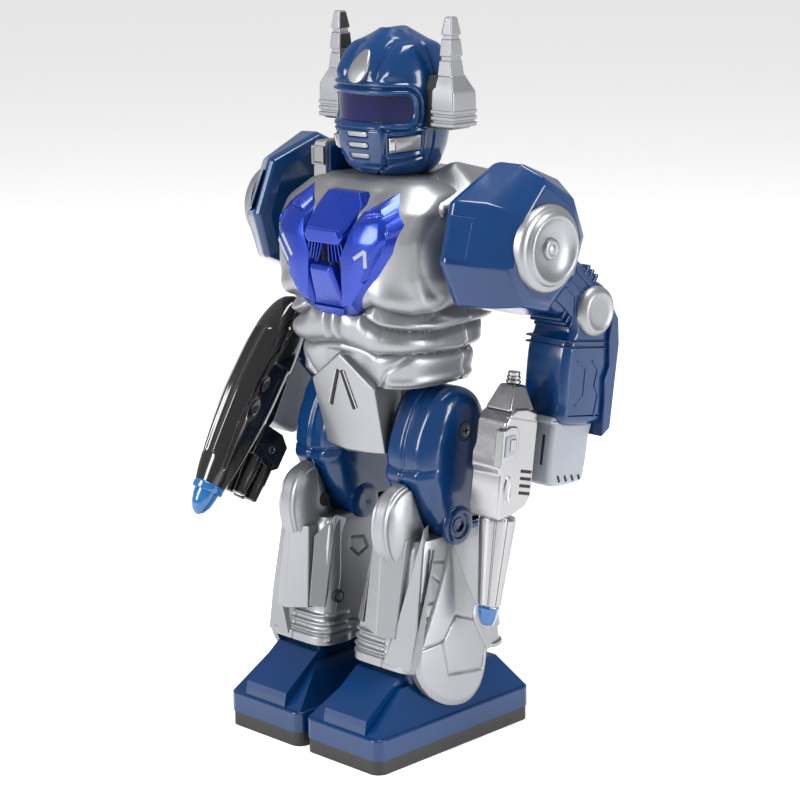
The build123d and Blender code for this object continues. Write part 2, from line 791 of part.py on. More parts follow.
def shoulder_pad():
    """Blue pad with the shaft that turns in the trunk."""
    with BuildPart() as pad:
        add(pad_dome(0))
        add(pad_dome(wall), mode=Mode.SUBTRACT)
        add(rod(0, 0, shoulder_shaft_radius, bearing_inner_x - gap - 2, pad_outer_x - wall / 2))
        add(rod(0, 0, shoulder_shaft_radius + 2.5, bearing_inner_x - gap - 2, bearing_inner_x - gap))
        add(limb(arm_x - arm_width / 2, arm_x + arm_width / 2), mode=Mode.SUBTRACT)
        add(rod(0, 0, shoulder_shaft_radius, arm_x - arm_width / 2 - 1, arm_x + arm_width / 2 + 1))
    return pad.part


def shoulder_cap():
    """Silver stepped boss on the pad."""
    with BuildPart() as cap:
        add(rod(0, 0, cap_radius, pad_outer_x, pad_outer_x + 2))
        add(rod(0, 0, cap_radius - 4.5, pad_outer_x + 2, pad_outer_x + 4.5))
        add(rod(0, 0, cap_radius - 8.5, pad_outer_x + 3.5, pad_outer_x + 5), mode=Mode.SUBTRACT)
        add(rod(0, 0, 4, pad_outer_x + 3, pad_outer_x + 6.5))
    return cap.part


def upper_arm():
    """Blue upper arm: a ring round the shoulder shaft and a tongue at the elbow."""
    low, high = arm_x - arm_width / 2, arm_x + arm_width / 2
    cut_z = elbow_radius + 2 - upper_length
    with BuildPart() as arm:
        add(limb(low, high))
        add(block((low - 1, arm_x - tongue_half), (-20, 20), (-upper_length - 20, cut_z)), mode=Mode.SUBTRACT)
        add(block((arm_x + tongue_half, high + 1), (-20, 20), (-upper_length - 20, cut_z)), mode=Mode.SUBTRACT)
        add(rod(0, 0, shoulder_shaft_radius, low - 1, high + 1), mode=Mode.SUBTRACT)
        add(rod(0, -upper_length, elbow_pin_radius + running, low, high), mode=Mode.SUBTRACT)
    return arm.part


def forearm():
    """Blue gauntlet with two cheeks round the tongue."""
    low, high = arm_x - fore_half_width, arm_x + fore_half_width
    slot = (arm_x - tongue_half - gap, arm_x + tongue_half + gap)
    with BuildPart() as arm:
        with BuildSketch(side_plane(low)):
            Circle(elbow_radius)
            with BuildLine():
                Polyline(
                    (-10, 0), (-11, -40), (-9, -fore_length), (11.5, -fore_length), (16, -56), (17, -20), (18, 0), (8, 11),
                    (0, 11), close=True,
                )
            make_face()
        extrude(amount=high - low)
        add(rod(0, 0, elbow_radius + gap, *slot), mode=Mode.SUBTRACT)
        add(block(slot, (-30, elbow_radius + gap), (-elbow_radius - gap, 30)), mode=Mode.SUBTRACT)
        add(rod(0, 0, elbow_pin_radius, low - 1, high + 1), mode=Mode.SUBTRACT)
    return arm.part


def elbow_pin():
    """Pin through the elbow with its silver cap."""
    with BuildPart() as pin:
        add(rod(0, 0, elbow_pin_radius, arm_x - fore_half_width, arm_x + fore_half_width + 1))
        add(rod(0, 0, 10, arm_x + fore_half_width, arm_x + fore_half_width + 3.5))
    return pin.part


def hand():
    """Fist with a slit between fingers and palm."""
    with BuildPart() as fist:
        add(block((57.5, 76.5), (hand_front, 11), (-fore_length - hand_length, -fore_length)))
        fillet(fist.edges().filter_by(Axis.Z), 4)
        add(block((72, 80), (-9, -7.6), (-fore_length - 24, -fore_length - 6)), mode=Mode.SUBTRACT)
    return fist.part


gun_x, gun_y = 63.5, -31.0
blaster_x, blaster_y = 58.5, -28.5
blaster_lean = 6.9  # degrees against the forearm


def turned(x, y, profile):
    """Solid of revolution about a vertical line; profile gives (z, radius) from the top down."""
    points = [(0, profile[0][0])] + [(radius, z) for z, radius in profile] + [(0, profile[-1][0])]
    with BuildPart() as body:
        with BuildSketch(Plane(origin=(x, y, 0), x_dir=(1, 0, 0), z_dir=(0, -1, 0))):
            with BuildLine():
                Polyline(*points, close=True)
            make_face()
        revolve(axis=Axis((x, y, 0), (0, 0, 1)))
    return body.part


def gun_body():
    """Receiver of the silver gun with the grip that the fist holds."""
    with BuildPart() as gun:
        add(block((gun_x - 8.5, gun_x + 8.5), (gun_y - 10.5, gun_y + 10.5), (-88, -36)))
        fillet(gun.edges().filter_by(Axis.Z), 4)
        add(turned(gun_x, gun_y, ((-28, 4), (-34, 5), (-37, 5))))
        add(block((gun_x - 4, gun_x + 4), (gun_y + 10, hand_front), (-74, -56)))
    return gun.part


def leant(part):
    """Leans a blaster piece back about the middle of the grip."""
    return Location((0, blaster_y, -63), (blaster_lean, 0, 0)) * Location((0, -blaster_y, 63)) * part


def blaster_shell():
    """Black streamlined shell with the grip that the fist holds."""
    with BuildPart() as shell:
        add(turned(blaster_x, blaster_y, ((-26, 3), (-32, 8), (-48, 11), (-78, 11), (-104, 9), (-124, 7))))
        add(block((blaster_x - 1, blaster_x + 6), (blaster_y + 6, -13), (-74, -56)))
    with BuildPart() as fitted:
        add(leant(shell.part))
        add(hand(), mode=Mode.SUBTRACT)
        add(forearm(), mode=Mode.SUBTRACT)
    return fitted.part.solids().sort_by(SortBy.VOLUME)[-1]


def blaster_barrels():
    """Cluster of four short barrels on a block."""
    with BuildPart() as cluster:
        add(block((blaster_x - 7, blaster_x + 7), (-17, 0), (-102, -88)))
        for barrel_y in (-13, -4):
            for barrel_x in (blaster_x - 4, blaster_x + 4):
                add(turned(barrel_x, barrel_y, ((-101, 3.2), (-120, 3.2))))
        add(block((blaster_x - 4, blaster_x + 4), (blaster_y, -16), (-100, -90)))
    with BuildPart() as fitted:
        add(leant(cluster.part))
        add(blaster_shell(), mode=Mode.SUBTRACT)
        add(hand(), mode=Mode.SUBTRACT)
    return fitted.part.solids().sort_by(SortBy.VOLUME)[-1]


for side in ("left", "right"):
    upper, fore = upper_angle[side], fore_angle[side]
    elbow_y = shoulder_y + upper_length * sin(radians(upper))
    elbow_z = shoulder_z - upper_length * cos(radians(upper))
    at_shoulder = {"shoulder_pad": shoulder_pad(), "shoulder_cap": shoulder_cap(), "upper_arm": upper_arm()}
    at_elbow = {"elbow_pin": elbow_pin(), "forearm": forearm(), "hand": hand()}
    if side == "left":
        at_elbow["gun_body"] = gun_body()
        at_elbow["gun_barrel"] = turned(gun_x, gun_y, ((-88, 8), (-132, 5)))
        at_elbow["gun_tip"] = turned(gun_x, gun_y, ((-132, 4.4), (-138, 3.6), (-141, 1.5)))
    else:
        at_elbow["blaster_shell"] = blaster_shell()
        at_elbow["blaster_barrels"] = blaster_barrels()
        at_elbow["blaster_tip"] = leant(turned(blaster_x, blaster_y, ((-124, 6.4), (-132, 5.2), (-137, 2.5))))
    for name, part in at_shoulder.items():
        save(place(part, side, shoulder_y, shoulder_z, upper), f"{side}_{name}")
    for name, part in at_elbow.items():
        save(place(part, side, elbow_y, elbow_z, fore), f"{side}_{name}")
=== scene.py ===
import json
from math import cos, pi, radians, sin, sqrt

import bmesh
import bpy
import numpy as np
from mathutils import Matrix, Vector

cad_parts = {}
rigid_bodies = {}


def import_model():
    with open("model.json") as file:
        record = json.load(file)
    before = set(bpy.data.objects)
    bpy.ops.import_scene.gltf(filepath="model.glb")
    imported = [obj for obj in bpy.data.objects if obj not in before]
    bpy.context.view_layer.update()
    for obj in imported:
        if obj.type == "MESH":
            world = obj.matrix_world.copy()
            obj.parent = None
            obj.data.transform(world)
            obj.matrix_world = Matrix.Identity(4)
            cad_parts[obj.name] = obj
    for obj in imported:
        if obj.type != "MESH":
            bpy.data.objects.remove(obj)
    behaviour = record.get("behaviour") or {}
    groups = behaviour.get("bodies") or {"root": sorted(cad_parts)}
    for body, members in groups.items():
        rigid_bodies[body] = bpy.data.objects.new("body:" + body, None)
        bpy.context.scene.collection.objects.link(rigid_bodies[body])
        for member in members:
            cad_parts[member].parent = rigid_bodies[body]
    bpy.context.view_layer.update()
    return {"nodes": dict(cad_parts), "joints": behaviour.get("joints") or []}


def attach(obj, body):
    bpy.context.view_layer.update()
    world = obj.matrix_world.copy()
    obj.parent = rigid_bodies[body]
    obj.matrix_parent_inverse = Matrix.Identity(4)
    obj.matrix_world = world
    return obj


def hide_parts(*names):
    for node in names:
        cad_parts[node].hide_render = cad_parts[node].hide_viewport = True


# A toy robot: skins and finishes over the CAD nodes. Lengths are in millimetres; make() turns them to metres.

for stray in list(bpy.data.objects):
    bpy.data.objects.remove(stray)
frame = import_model()
MM = 0.001
joints = {joint["name"]: joint for joint in frame["joints"]}


# ---- materials

def principled(name, color, roughness, metallic=0.0, coat=0.0, grain=900.0, bump=0.02, tint=0.12, specular=0.5):
    """Plastic or paint: fine grain in bump and roughness, and a slow drift of colour."""
    material = bpy.data.materials.new(name)
    material.use_nodes = True
    nodes, links = material.node_tree.nodes, material.node_tree.links
    shader = nodes["Principled BSDF"]
    shader.inputs["Metallic"].default_value = metallic
    shader.inputs["Coat Weight"].default_value = coat
    shader.inputs["Coat Roughness"].default_value = 0.08
    shader.inputs["Specular IOR Level"].default_value = specular
    place = nodes.new("ShaderNodeTexCoord")
    slow = nodes.new("ShaderNodeTexNoise")
    slow.inputs["Scale"].default_value = 22.0
    slow.inputs["Detail"].default_value = 3.0
    links.new(place.outputs["Object"], slow.inputs["Vector"])
    ramp = nodes.new("ShaderNodeValToRGB")
    ramp.color_ramp.elements[0].position = 0.35
    ramp.color_ramp.elements[1].position = 0.7
    ramp.color_ramp.elements[0].color = [*(c * (1 - tint) for c in color), 1]
    ramp.color_ramp.elements[1].color = [*(min(1, c * (1 + tint)) for c in color), 1]
    links.new(slow.outputs["Fac"], ramp.inputs["Fac"])
    links.new(ramp.outputs["Color"], shader.inputs["Base Color"])
    fine = nodes.new("ShaderNodeTexNoise")
    fine.inputs["Scale"].default_value = grain
    fine.inputs["Detail"].default_value = 2.0
    links.new(place.outputs["Object"], fine.inputs["Vector"])
    spread = nodes.new("ShaderNodeMapRange")
    spread.inputs["To Min"].default_value = roughness * 0.8
    spread.inputs["To Max"].default_value = roughness * 1.25
    links.new(fine.outputs["Fac"], spread.inputs["Value"])
    links.new(spread.outputs["Result"], shader.inputs["Roughness"])
    height = nodes.new("ShaderNodeBump")
    height.inputs["Strength"].default_value = bump
    height.inputs["Distance"].default_value = 0.0004
    links.new(fine.outputs["Fac"], height.inputs["Height"])
    links.new(height.outputs["Normal"], shader.inputs["Normal"])
    return material


silver = principled("silver_paint", (0.29, 0.295, 0.312), 0.38, metallic=0.80, grain=1600, bump=0.14, tint=0.05)
blue = principled("blue_plastic", (0.001, 0.027, 0.105), 0.16, coat=0.18, specular=0.4, grain=500, bump=0.015,
    tint=0.10)
cobalt = principled("cobalt_paint", (0.001, 0.026, 0.30), 0.27, metallic=0.55, coat=0.4, grain=1500, bump=0.05)
black = principled("black_gloss", (0.006, 0.006, 0.006), 0.16, coat=0.6, grain=400, bump=0.02)
sole_black = principled("sole_charcoal", (0.018, 0.016, 0.016), 0.6, grain=1200, bump=0.25)
grey = principled("grey_plastic", (0.27, 0.29, 0.33), 0.42, grain=900, bump=0.05)
chrome = principled("plated_silver", (0.36, 0.36, 0.37), 0.20, metallic=0.95, grain=700, bump=0.02, tint=0.04)
azure = principled("clear_blue", (0.008, 0.14, 0.42), 0.12, coat=0.7, grain=300, bump=0.02)
visor_blue = principled("visor_blue", (0.003, 0.003, 0.06), 0.12, coat=0.15, specular=0.3, grain=90, bump=0.04,
    tint=0.5)
steel = principled("zinc_steel", (0.35, 0.35, 0.35), 0.3, metallic=1.0, grain=1500, bump=0.05)
nylon = principled("nylon", (0.62, 0.60, 0.54), 0.5, grain=900, bump=0.05)
board = principled("board_green", (0.01, 0.10, 0.03), 0.35, grain=400, bump=0.1)
wrap = principled("battery_wrap", (0.03, 0.03, 0.035), 0.3, coat=0.4)
# near-black for holes, slots, vents, creases and gaps: painted shade standing in for the dark inside these recesses
painted_shade = principled("painted_recess_shade", (0.004, 0.004, 0.004), 0.7)
azure.node_tree.nodes["Principled BSDF"].inputs["Transmission Weight"].default_value = 0.35


# ---- mesh tools (all in millimetres)

def mirror(side):
    """Matrix that takes what is drawn for the left to the given side."""
    return Matrix.Scale(-1, 4, (1, 0, 0)) if side == "right" else Matrix.Identity(4)


def joint_place(name):
    """(y, z) of a joint's axis."""
    return tuple(value / MM for value in joints[name]["pos_m"][1:])


def arm_frame(side, joint, angle):
    """Matrix from an arm's own upright frame to its place at rest."""
    y, z = joint_place(f"{side}_{joint}")
    return mirror(side) @ Matrix.Translation((0, y, z)) @ Matrix.Rotation(radians(angle), 4, "X")


def turned(y, z, angle, lift=0.0):
    """Matrix that turns about a line along X through (y, z), then lifts."""
    there, home = Matrix.Translation((0, y, z + lift)), Matrix.Translation((0, -y, -z))
    return there @ Matrix.Rotation(radians(angle), 4, "X") @ home


def make(name, verts, faces, material, body, hides=(), at=None, bevel=0.0, segments=2, crisp=32.0, shell=0.0, sub=0):
    """One piece from its corners and faces, with its finish and the body that it rides on."""
    work = bmesh.new()
    at = at or Matrix.Identity(4)
    points = [work.verts.new((at @ Vector(v)) * MM) for v in verts]
    for face in faces:
        if len(set(face)) > 2:
            work.faces.new([points[i] for i in dict.fromkeys(face)])
    bmesh.ops.remove_doubles(work, verts=work.verts, dist=1e-7)
    bmesh.ops.recalc_face_normals(work, faces=work.faces)
    mesh = bpy.data.meshes.new(name)
    work.to_mesh(mesh)
    work.free()
    piece = bpy.data.objects.new(name, mesh)
    bpy.context.scene.collection.objects.link(piece)
    mesh.materials.append(material)
    if sub:
        modifier = piece.modifiers.new("smooth", "SUBSURF")
        modifier.levels = modifier.render_levels = sub
    if shell:
        modifier = piece.modifiers.new("wall", "SOLIDIFY")
        modifier.thickness = shell * MM
        modifier.offset = -1
    if bevel:
        modifier = piece.modifiers.new("edges", "BEVEL")
        modifier.width = bevel * MM
        modifier.segments = segments
        modifier.limit_method = "ANGLE"
        modifier.angle_limit = radians(24)
        modifier.harden_normals = True
    for polygon in mesh.polygons:
        polygon.use_smooth = True
    mesh.set_sharp_from_angle(angle=radians(crisp))
    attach(piece, body)
    if hides:
        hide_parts(*hides)
    return piece


def grid_faces(rows, columns, closed=True, caps=True):
    """Quads between rows of points, and an n-gon over each end."""
    faces = []
    last = columns if closed else columns - 1
    for r in range(rows - 1):
        for c in range(last):
            d = (c + 1) % columns
            faces.append((r * columns + c, r * columns + d, (r + 1) * columns + d, (r + 1) * columns + c))
    if caps:
        faces.append(tuple(range(columns)))
        faces.append(tuple((rows - 1) * columns + c for c in reversed(range(columns))))
    return faces


def loft(name, rings, material, body, closed=True, caps=True, **options):
    """Skin over rings of equal count."""
    rings = np.asarray(rings, float)
    verts = rings.reshape(-1, 3)
    return make(name, verts, grid_faces(len(rings), rings.shape[1], closed, caps), material, body, **options)


def prism(name, outline, low, high, material, body, axis="x", **options):
    """Outline swept along an axis: (y, z) points along X, or (x, z) points along Y, or (x, y) along Z."""
    place = {"x": lambda p, d: (d, p[0], p[1]), "y": lambda p, d: (p[0], d, p[1]), "z": lambda p,
        d: (p[0], p[1], d)}[axis]
    rings = [[place(point, depth) for point in outline] for depth in (low, high)]
    return loft(name, rings, material, body, **options)


def lathe(name, profile, centre, material, body, axis="x", count=64, **options):
    """Round about an axis through centre; the profile is (distance along, radius)."""
    rings = []
    for along, radius in profile:
        ring = []
        for k in range(count):
            a = 2 * pi * k / count
            u, v = radius * cos(a), radius * sin(a)
            offset = {"x": (along, u, v), "y": (u, along, v), "z": (u, v, along)}[axis]
            ring.append([c + o for c, o in zip(centre, offset)])
        rings.append(ring)
    return loft(name, rings, material, body, **options)


def rounded_over(edge, steps, start=0.0, stop=pi / 2):
    """(depth, inset) pairs down a quarter round from start to stop."""
    return [(edge * (1 - cos(a)), edge * (1 - sin(a))) for a in np.linspace(start, stop, steps)]


def pillow(name, outline, low, high, edge, material, body, steps=7, **options):
    """Outline in (y, z) swept along X, with both ends rounded over by a quarter circle."""
    points = np.asarray(outline, float)
    before, after = np.roll(points, 1, axis=0), np.roll(points, -1, axis=0)
    along = after - before
    normal = np.stack([along[:, 1], -along[:, 0]], axis=1)
    normal /= np.linalg.norm(normal, axis=1)[:, None]
    area = np.sum(points[:, 0] * after[:, 1] - after[:, 0] * points[:, 1])
    inward = -normal if area > 0 else normal
    rings = []
    turns = [(low + depth, inset) for depth, inset in rounded_over(edge, steps)]
    turns += [(high - inset, depth) for depth, inset in rounded_over(edge, steps)]
    for x, inset in turns:
        ring = points + inward * inset
        rings.append([(x, y, z) for y, z in ring])
    return loft(name, rings, material, body, **options)


def hermite(f, start, start_slope, end, end_slope):
    """Cubic from start to end, at the fraction f of the way."""
    return (
        (2 * f**3 - 3 * f**2 + 1) * start + (f**3 - 2 * f**2 + f) * start_slope
        + (-2 * f**3 + 3 * f**2) * end + (f**3 - f**2) * end_slope
    )


def smooth_outline(points, count=96, tension=0.5):
    """Closed Catmull-Rom curve through the points, resampled evenly by parameter."""
    points = np.asarray(points, float)
    total = len(points)
    out = []
    for k in range(count):
        t = k / count * total
        i, f = int(t), t - int(t)
        p0, p1, p2, p3 = (points[(i + j - 1) % total] for j in range(4))
        out.append(hermite(f, p1, tension * (p2 - p0), p2, tension * (p3 - p1)))
    return np.array(out)


def through(value, stations):
    """Smooth curve through (position, value) stations that never overshoots them."""
    xs, ys = np.array(stations, float).T
    steps = np.diff(ys) / np.diff(xs)
    slopes = np.zeros(len(xs))
    same = steps[:-1] * steps[1:] > 0
    slopes[1:-1][same] = 2 * steps[:-1][same] * steps[1:][same] / (steps[:-1] + steps[1:])[same]
    slopes[0], slopes[-1] = steps[0], steps[-1]
    value = np.clip(np.asarray(value, float), xs[0], xs[-1])
    i = np.clip(np.searchsorted(xs, value) - 1, 0, len(xs) - 2)
    h = xs[i + 1] - xs[i]
    return hermite((value - xs[i]) / h, ys[i], h * slopes[i], ys[i + 1], h * slopes[i + 1])


def section(stations, z):
    """Middle x, half width, front y and back y at a height, from (z, middle, half, front, back) stations."""
    table = np.array(stations, float)
    return [through(z, table[:, (0, k)]) for k in (1, 2, 3, 4)]


def ease(value, low, high):
    """Smooth step from 0 at low to 1 at high."""
    f = np.clip((np.asarray(value, float) - low) / (high - low), 0, 1)
    return f * f * (3 - 2 * f)


def bar(name, start, end, half_width, depth, material, body, up=(0, 0, 1), **options):
    """Rounded strip from start to end, half_width to each side and depth thick along up."""
    start, end, up = Vector(start), Vector(end), Vector(up).normalized()
    along = (end - start).normalized()
    side = along.cross(up).normalized()
    up = side.cross(along).normalized()
    verts = []
    for point in (start, end):
        for s, u in ((-1, -1), (1, -1), (1, 1), (-1, 1)):
            verts.append(point + side * s * half_width + up * u * depth)
    faces = [(0, 1, 2, 3), (7, 6, 5, 4), (0, 4, 5, 1), (1, 5, 6, 2), (2, 6, 7, 3), (3, 7, 4, 0)]
    options.setdefault("bevel", min(half_width, depth) * 0.5)
    return make(name, verts, faces, material, body, **options)


def raised_line(name, x, path, half_width, body, at):
    """Thin bars along a path of (y, z) points on a face at x."""
    for j, ((y0, z0), (y1, z1)) in enumerate(zip(path[:-1], path[1:])):
        bar(f"{name}_{j}", (x, y0, z0), (x, y1, z1), half_width, half_width, blue, body, up=(1, 0, 0), at=at)


def hump(distance, width):
    """1 where the distance is nothing, falling to 0 on both sides."""
    return np.exp(-((distance / width) ** 2))


def groove(u, v, path, width):
    """1 on a polyline of (u, v) points, falling to 0 away from it."""
    best = np.full(np.shape(u), 1e9)
    for (u0, v0), (u1, v1) in zip(path[:-1], path[1:]):
        du, dv = u1 - u0, v1 - v0
        t = np.clip(((u - u0) * du + (v - v0) * dv) / (du * du + dv * dv), 0, 1)
        best = np.minimum(best, np.hypot(u - u0 - t * du, v - v0 - t * dv))
    return hump(best, width)


def inside(u, v, outline, soft=0.8):
    """1 inside a polygon of (u, v) points, easing to 0 at its edge."""
    u, v = np.asarray(u, float), np.asarray(v, float)
    near = np.full(u.shape, 1e9)
    within = np.zeros(u.shape, bool)
    for (u0, v0), (u1, v1) in zip(outline, list(outline[1:]) + [outline[0]]):
        du, dv = u1 - u0, v1 - v0
        t = np.clip(((u - u0) * du + (v - v0) * dv) / (du * du + dv * dv), 0, 1)
        near = np.minimum(near, np.hypot(u - u0 - t * du, v - v0 - t * dv))
        if dv:
            crosses = ((v0 > v) != (v1 > v)) & (u < (v - v0) / dv * du + u0)
            within ^= crosses
    return np.where(within, ease(near, 0, soft), 0.0)


def skin(name, stations, material, body, rows, columns, span=None, power=4.0, arc=(0, 2 * pi), relief=None,
    **options):
    """Dense shell through (z, middle x, half x, front y, back y) stations, carved by relief(x, y, z)."""
    zs = np.linspace(*(span or (stations[0][0], stations[-1][0])), rows)
    middle, half, front, back = section(stations, zs)
    closed = arc[1] - arc[0] > 2 * pi - 0.01
    fine = np.linspace(*arc, 1441)
    unit = np.stack([np.sign(np.cos(fine)) * abs(np.cos(fine)) ** (2 / power),
                     -np.sign(np.sin(fine)) * abs(np.sin(fine)) ** (2 / power)], axis=1)
    sheet = np.zeros((rows, columns, 3))
    for r in range(rows):
        line = unit * (half[r], (back[r] - front[r]) / 2) + (middle[r], (front[r] + back[r]) / 2)
        run = np.concatenate([[0], np.cumsum(np.linalg.norm(np.diff(line, axis=0), axis=1))])
        at = np.linspace(0, run[-1], columns, endpoint=not closed)
        sheet[r, :, 0] = np.interp(at, run, line[:, 0])
        sheet[r, :, 1] = np.interp(at, run, line[:, 1])
        sheet[r, :, 2] = zs[r]
    if relief:
        across = np.roll(sheet, -1, axis=1) - np.roll(sheet, 1, axis=1)
        if not closed:
            across = np.gradient(sheet, axis=1)
        normal = np.cross(np.gradient(sheet, axis=0), across)
        normal /= np.linalg.norm(normal, axis=2)[..., None] + 1e-9
        centre = np.stack([middle, (front + back) / 2, zs], axis=1)[:, None, :]
        normal *= np.sign(np.sum(normal * (sheet - centre), axis=2))[..., None]
        sheet = sheet + normal * relief(sheet[..., 0], sheet[..., 1], sheet[..., 2])[..., None]
    return loft(name, sheet, material, body, closed=closed, **options)


def shield(name, outline, surface, rise, material, body, out=(0, -1, 0), depth=3.0, rim=1.5, dome=0.0, fill=9,
    split=10, relief=None, **options):
    """Plate on a surface(u, v), lifted by rise, with a bevel of rim and a crown of dome."""
    points = np.asarray(outline, float)
    ends = np.roll(points, -1, axis=0)
    dense = np.concatenate([np.linspace(a, b, split, endpoint=False) for a, b in zip(points, ends)])
    centre = dense.mean(axis=0)
    reach = np.linalg.norm(dense - centre, axis=1).min()
    stages = [(1.0, -depth), (1.0, 0.0), (1 - rim / reach, rise)]
    inner = 1 - rim / reach
    for k in range(1, fill):
        f = k / fill
        stages.append((inner * (1 - f), rise + dome * (1 - (1 - f) ** 2)))
    out = np.array(out, float)
    rings = []
    for scale, lift in stages:
        uv = centre + (dense - centre) * scale
        spot = np.array([surface(u, v) for u, v in uv])
        height = np.full((len(uv), 1), lift)
        if relief and lift > 0:
            height[:, 0] += relief(uv[:, 0], uv[:, 1])
        rings.append(spot + out * height)
    return loft(name, rings, material, body, **options)


def stack(name, levels, material, body, **options):
    """Upright block through (z, low x, high x, front y, back y) rectangles."""
    rings = [[(a, c, z), (b, c, z), (b, d, z), (a, d, z)] for z, a, b, c, d in levels]
    return loft(name, rings, material, body, **options)


# ---- torso

seam_y = 17.5  # where the front and back shell meet
body_power = 3.8
body_stations = [
    (163.5, 0, 35.0, -18.5, 29), (170, 0, 36.5, -20.5, 31), (182, 0, 38.5, -23, 35), (190, 0, 40, -24, 41),
    (197, 0, 41.5, -25, 47.4), (206, 0, 45.0, -26.5, 47.8), (214, 0, 47.8, -26.5, 47.8), (228, 0, 48.6, -26, 47.8),
    (240, 0, 46.5, -21.4, 47.8), (247, 0, 41.5, -13.6, 47.6), (251.5, 0, 35.5, -8.2, 47.2),
    (253.4, 0, 31.5, -4.5, 45),
]


def chest_y(x, z):
    """Front face of the bare chest."""
    _, half, front, _ = section(body_stations, z)
    reach = min(abs(x) / half, 0.985)
    return float(seam_y - (seam_y - front) * (1 - reach**body_power) ** (1 / body_power))


def torso_relief(x, y, z):
    around = np.abs(x) + np.clip(y + 8, 0, None) * 0.8
    pec = np.interp(around, [0, 14, 23, 38, 60, 90], [195, 197, 200.5, 196, 197.5, 197.5])
    band = np.interp(around, [0, 15, 20, 26, 45, 70, 90], [197, 196.6, 193, 190.4, 187.5, 188.5, 189])
    waist = np.interp(around, [0, 7, 20, 34, 55, 90], [181.5, 180.5, 178, 178.5, 177, 179])
    side = ease(around, 15, 19)
    front = 1 - ease(y, 38, 45) * (1 - ease(np.abs(x), 33, 38))
    off = -4.2 * np.exp(-np.abs(z - pec) / 1.7) * ease(around, 6, 12)
    off += 2.2 * hump(z - pec - 6, 6) * (z > pec) * ease(around, 10, 30) * (1 - ease(around, 46, 60))
    off -= 3.6 * np.exp(-np.abs(z - band) / 1.5) * side
    off -= 3.8 * np.exp(-np.abs(z - waist) / 1.5)
    off += 1.4 * hump(z - band - 3.6, 2.2) * side + 1.2 * hump(z - waist - 3.6, 2.4) * ease(around, 40, 60)
    lobe = np.clip((z - waist) / (band - waist), 0, 1)
    off += 2.4 * (1 - (2 * lobe - 1) ** 2) * (z > waist) * (z < band) * (1 - ease(around, 30, 60))
    off -= 2.6 * hump(around - 3.2, 1.3) * ease(z, 180.5, 182.5) * (1 - ease(z, 195, 198))
    low = 1 - ease(z, 176, 181)
    off -= low * 2.2 * (1 - ease(around, 10, 24))
    off -= 0.9 * groove(around, z, [(20, 163.5), (25, 171), (34, 177.5)], 1.0) * low
    off += 1.1 * hump(z - 166.2, 1.9) * ease(around, 21, 27)
    socket = np.hypot((y - seam_y) / 38, (z - 222.5) / 28.5)
    flank = ease(np.abs(x), 38, 44)
    off += flank * (1.0 * hump(socket - 1.03, 0.055) - 0.9 * (1 - ease(socket, 0.84, 0.98)))
    off -= 1.3 * hump(np.abs(x) - 15, 6) * ease(z, 240, 244) * (1 - ease(z, 248, 252))
    off -= 0.7 * hump(y - seam_y, 0.55)
    return off * front


for part, arc in (("front", (0, pi)), ("back", (pi, 2 * pi))):
    halves = []
    for z, middle, half, fore, aft in body_stations:
        ends = (fore, 2 * seam_y - fore) if part == "front" else (2 * seam_y - aft, aft)
        halves.append((z, middle, half, *ends))
    shell = skin(f"torso_{part}_skin", halves, silver, "torso", 240, 320, power=body_power,
                 arc=arc, relief=torso_relief, crisp=40)
    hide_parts(f"torso_{part}_shell")

for side in ("left", "right"):
    flip = mirror(side)
    ridge = [(30, 1, 250.5), (30, 21, 260.5), (30, 45, 254)]
    inner = [(15, -6, 248), (13, 21, 251.5), (15, 46, 250.5)]
    outer = [(45, -4, 243), (48.5, 21, 245), (45, 46, 244)]
    root = [(16, -4, 240), (46, -4, 238), (46, 46, 238), (16, 46, 240)]
    verts = ridge + inner + outer + root
    faces = [(0, 1, 4, 3), (1, 2, 5, 4), (0, 6, 7, 1), (1, 7, 8, 2), (0, 3, 6), (2, 8, 5),
             (3, 9, 10, 6), (8, 11, 12, 5), (3, 4, 5, 12, 9), (6, 10, 11, 8, 7), (9, 12, 11, 10)]
    make(f"{side}_trapezius", verts, faces, silver, "torso", at=flip, bevel=2.6, segments=4)

flip = mirror("right")
stack("collar_block", [(250, 24.2, 32.4, -5, 24), (264.6, 24.2, 31.8, -5, 24), (266.6, 24.8, 31.2, -4.2, 23)], silver,
    "torso", at=flip, bevel=0.8, segments=3)
stack("collar_cheek", [(250, 22.6, 25, -3.6, 23), (263, 22.6, 25, -3.6, 22), (264.6, 23.4, 25, -2.6, 21)], blue,
    "torso", at=flip, bevel=0.5)
square = ((-3.8, -4.2), (3.8, -4.2), (3.8, 4.2), (-3.8, 4.2))
rings = [[(28.1 + x * s, y, 260.2 + z * s) for x, z in square] for s, y in ((1, -4.6), (1, -6.4), (0.8, -6.4),
        (0.74, -5.6))]
loft("collar_light", rings, chrome, "torso", at=flip, bevel=0.25)

# chest armour: a head block over a bar, a keel, two wings and slatted vents
wing_line = [(15, 238), (29.5, 240.5), (33, 231), (24, 213)]
chest = lambda x, z: (x, chest_y(x, z), z)
head_block = [
    [(-10.5, -12, 248.2), (10.5, -12, 248.2), (13.6, -13, 243), (13.2, -14, 234), (11, -20, 231.2), (-11, -20, 231.2),
        (-13.2, -14, 234), (-13.6, -13, 243)],
    [(-9.5, -17.5, 248), (9.5, -17.5, 248), (13.2, -20, 242.5), (12.6, -27.5, 234.4), (11, -30.3, 231.4),
        (-11, -30.3, 231.4), (-12.6, -27.5, 234.4), (-13.2, -20, 242.5)],
    [(-8.4, -19, 246), (8.4, -19, 246), (11.6, -22, 241), (11.2, -28, 235.4), (9.8, -30.8, 232.6),
        (-9.8, -30.8, 232.6), (-11.2, -28, 235.4), (-11.6, -22, 241)],
]
loft("chest_crown", head_block, cobalt, "torso", bevel=0.5, hides=("chest_plate",))
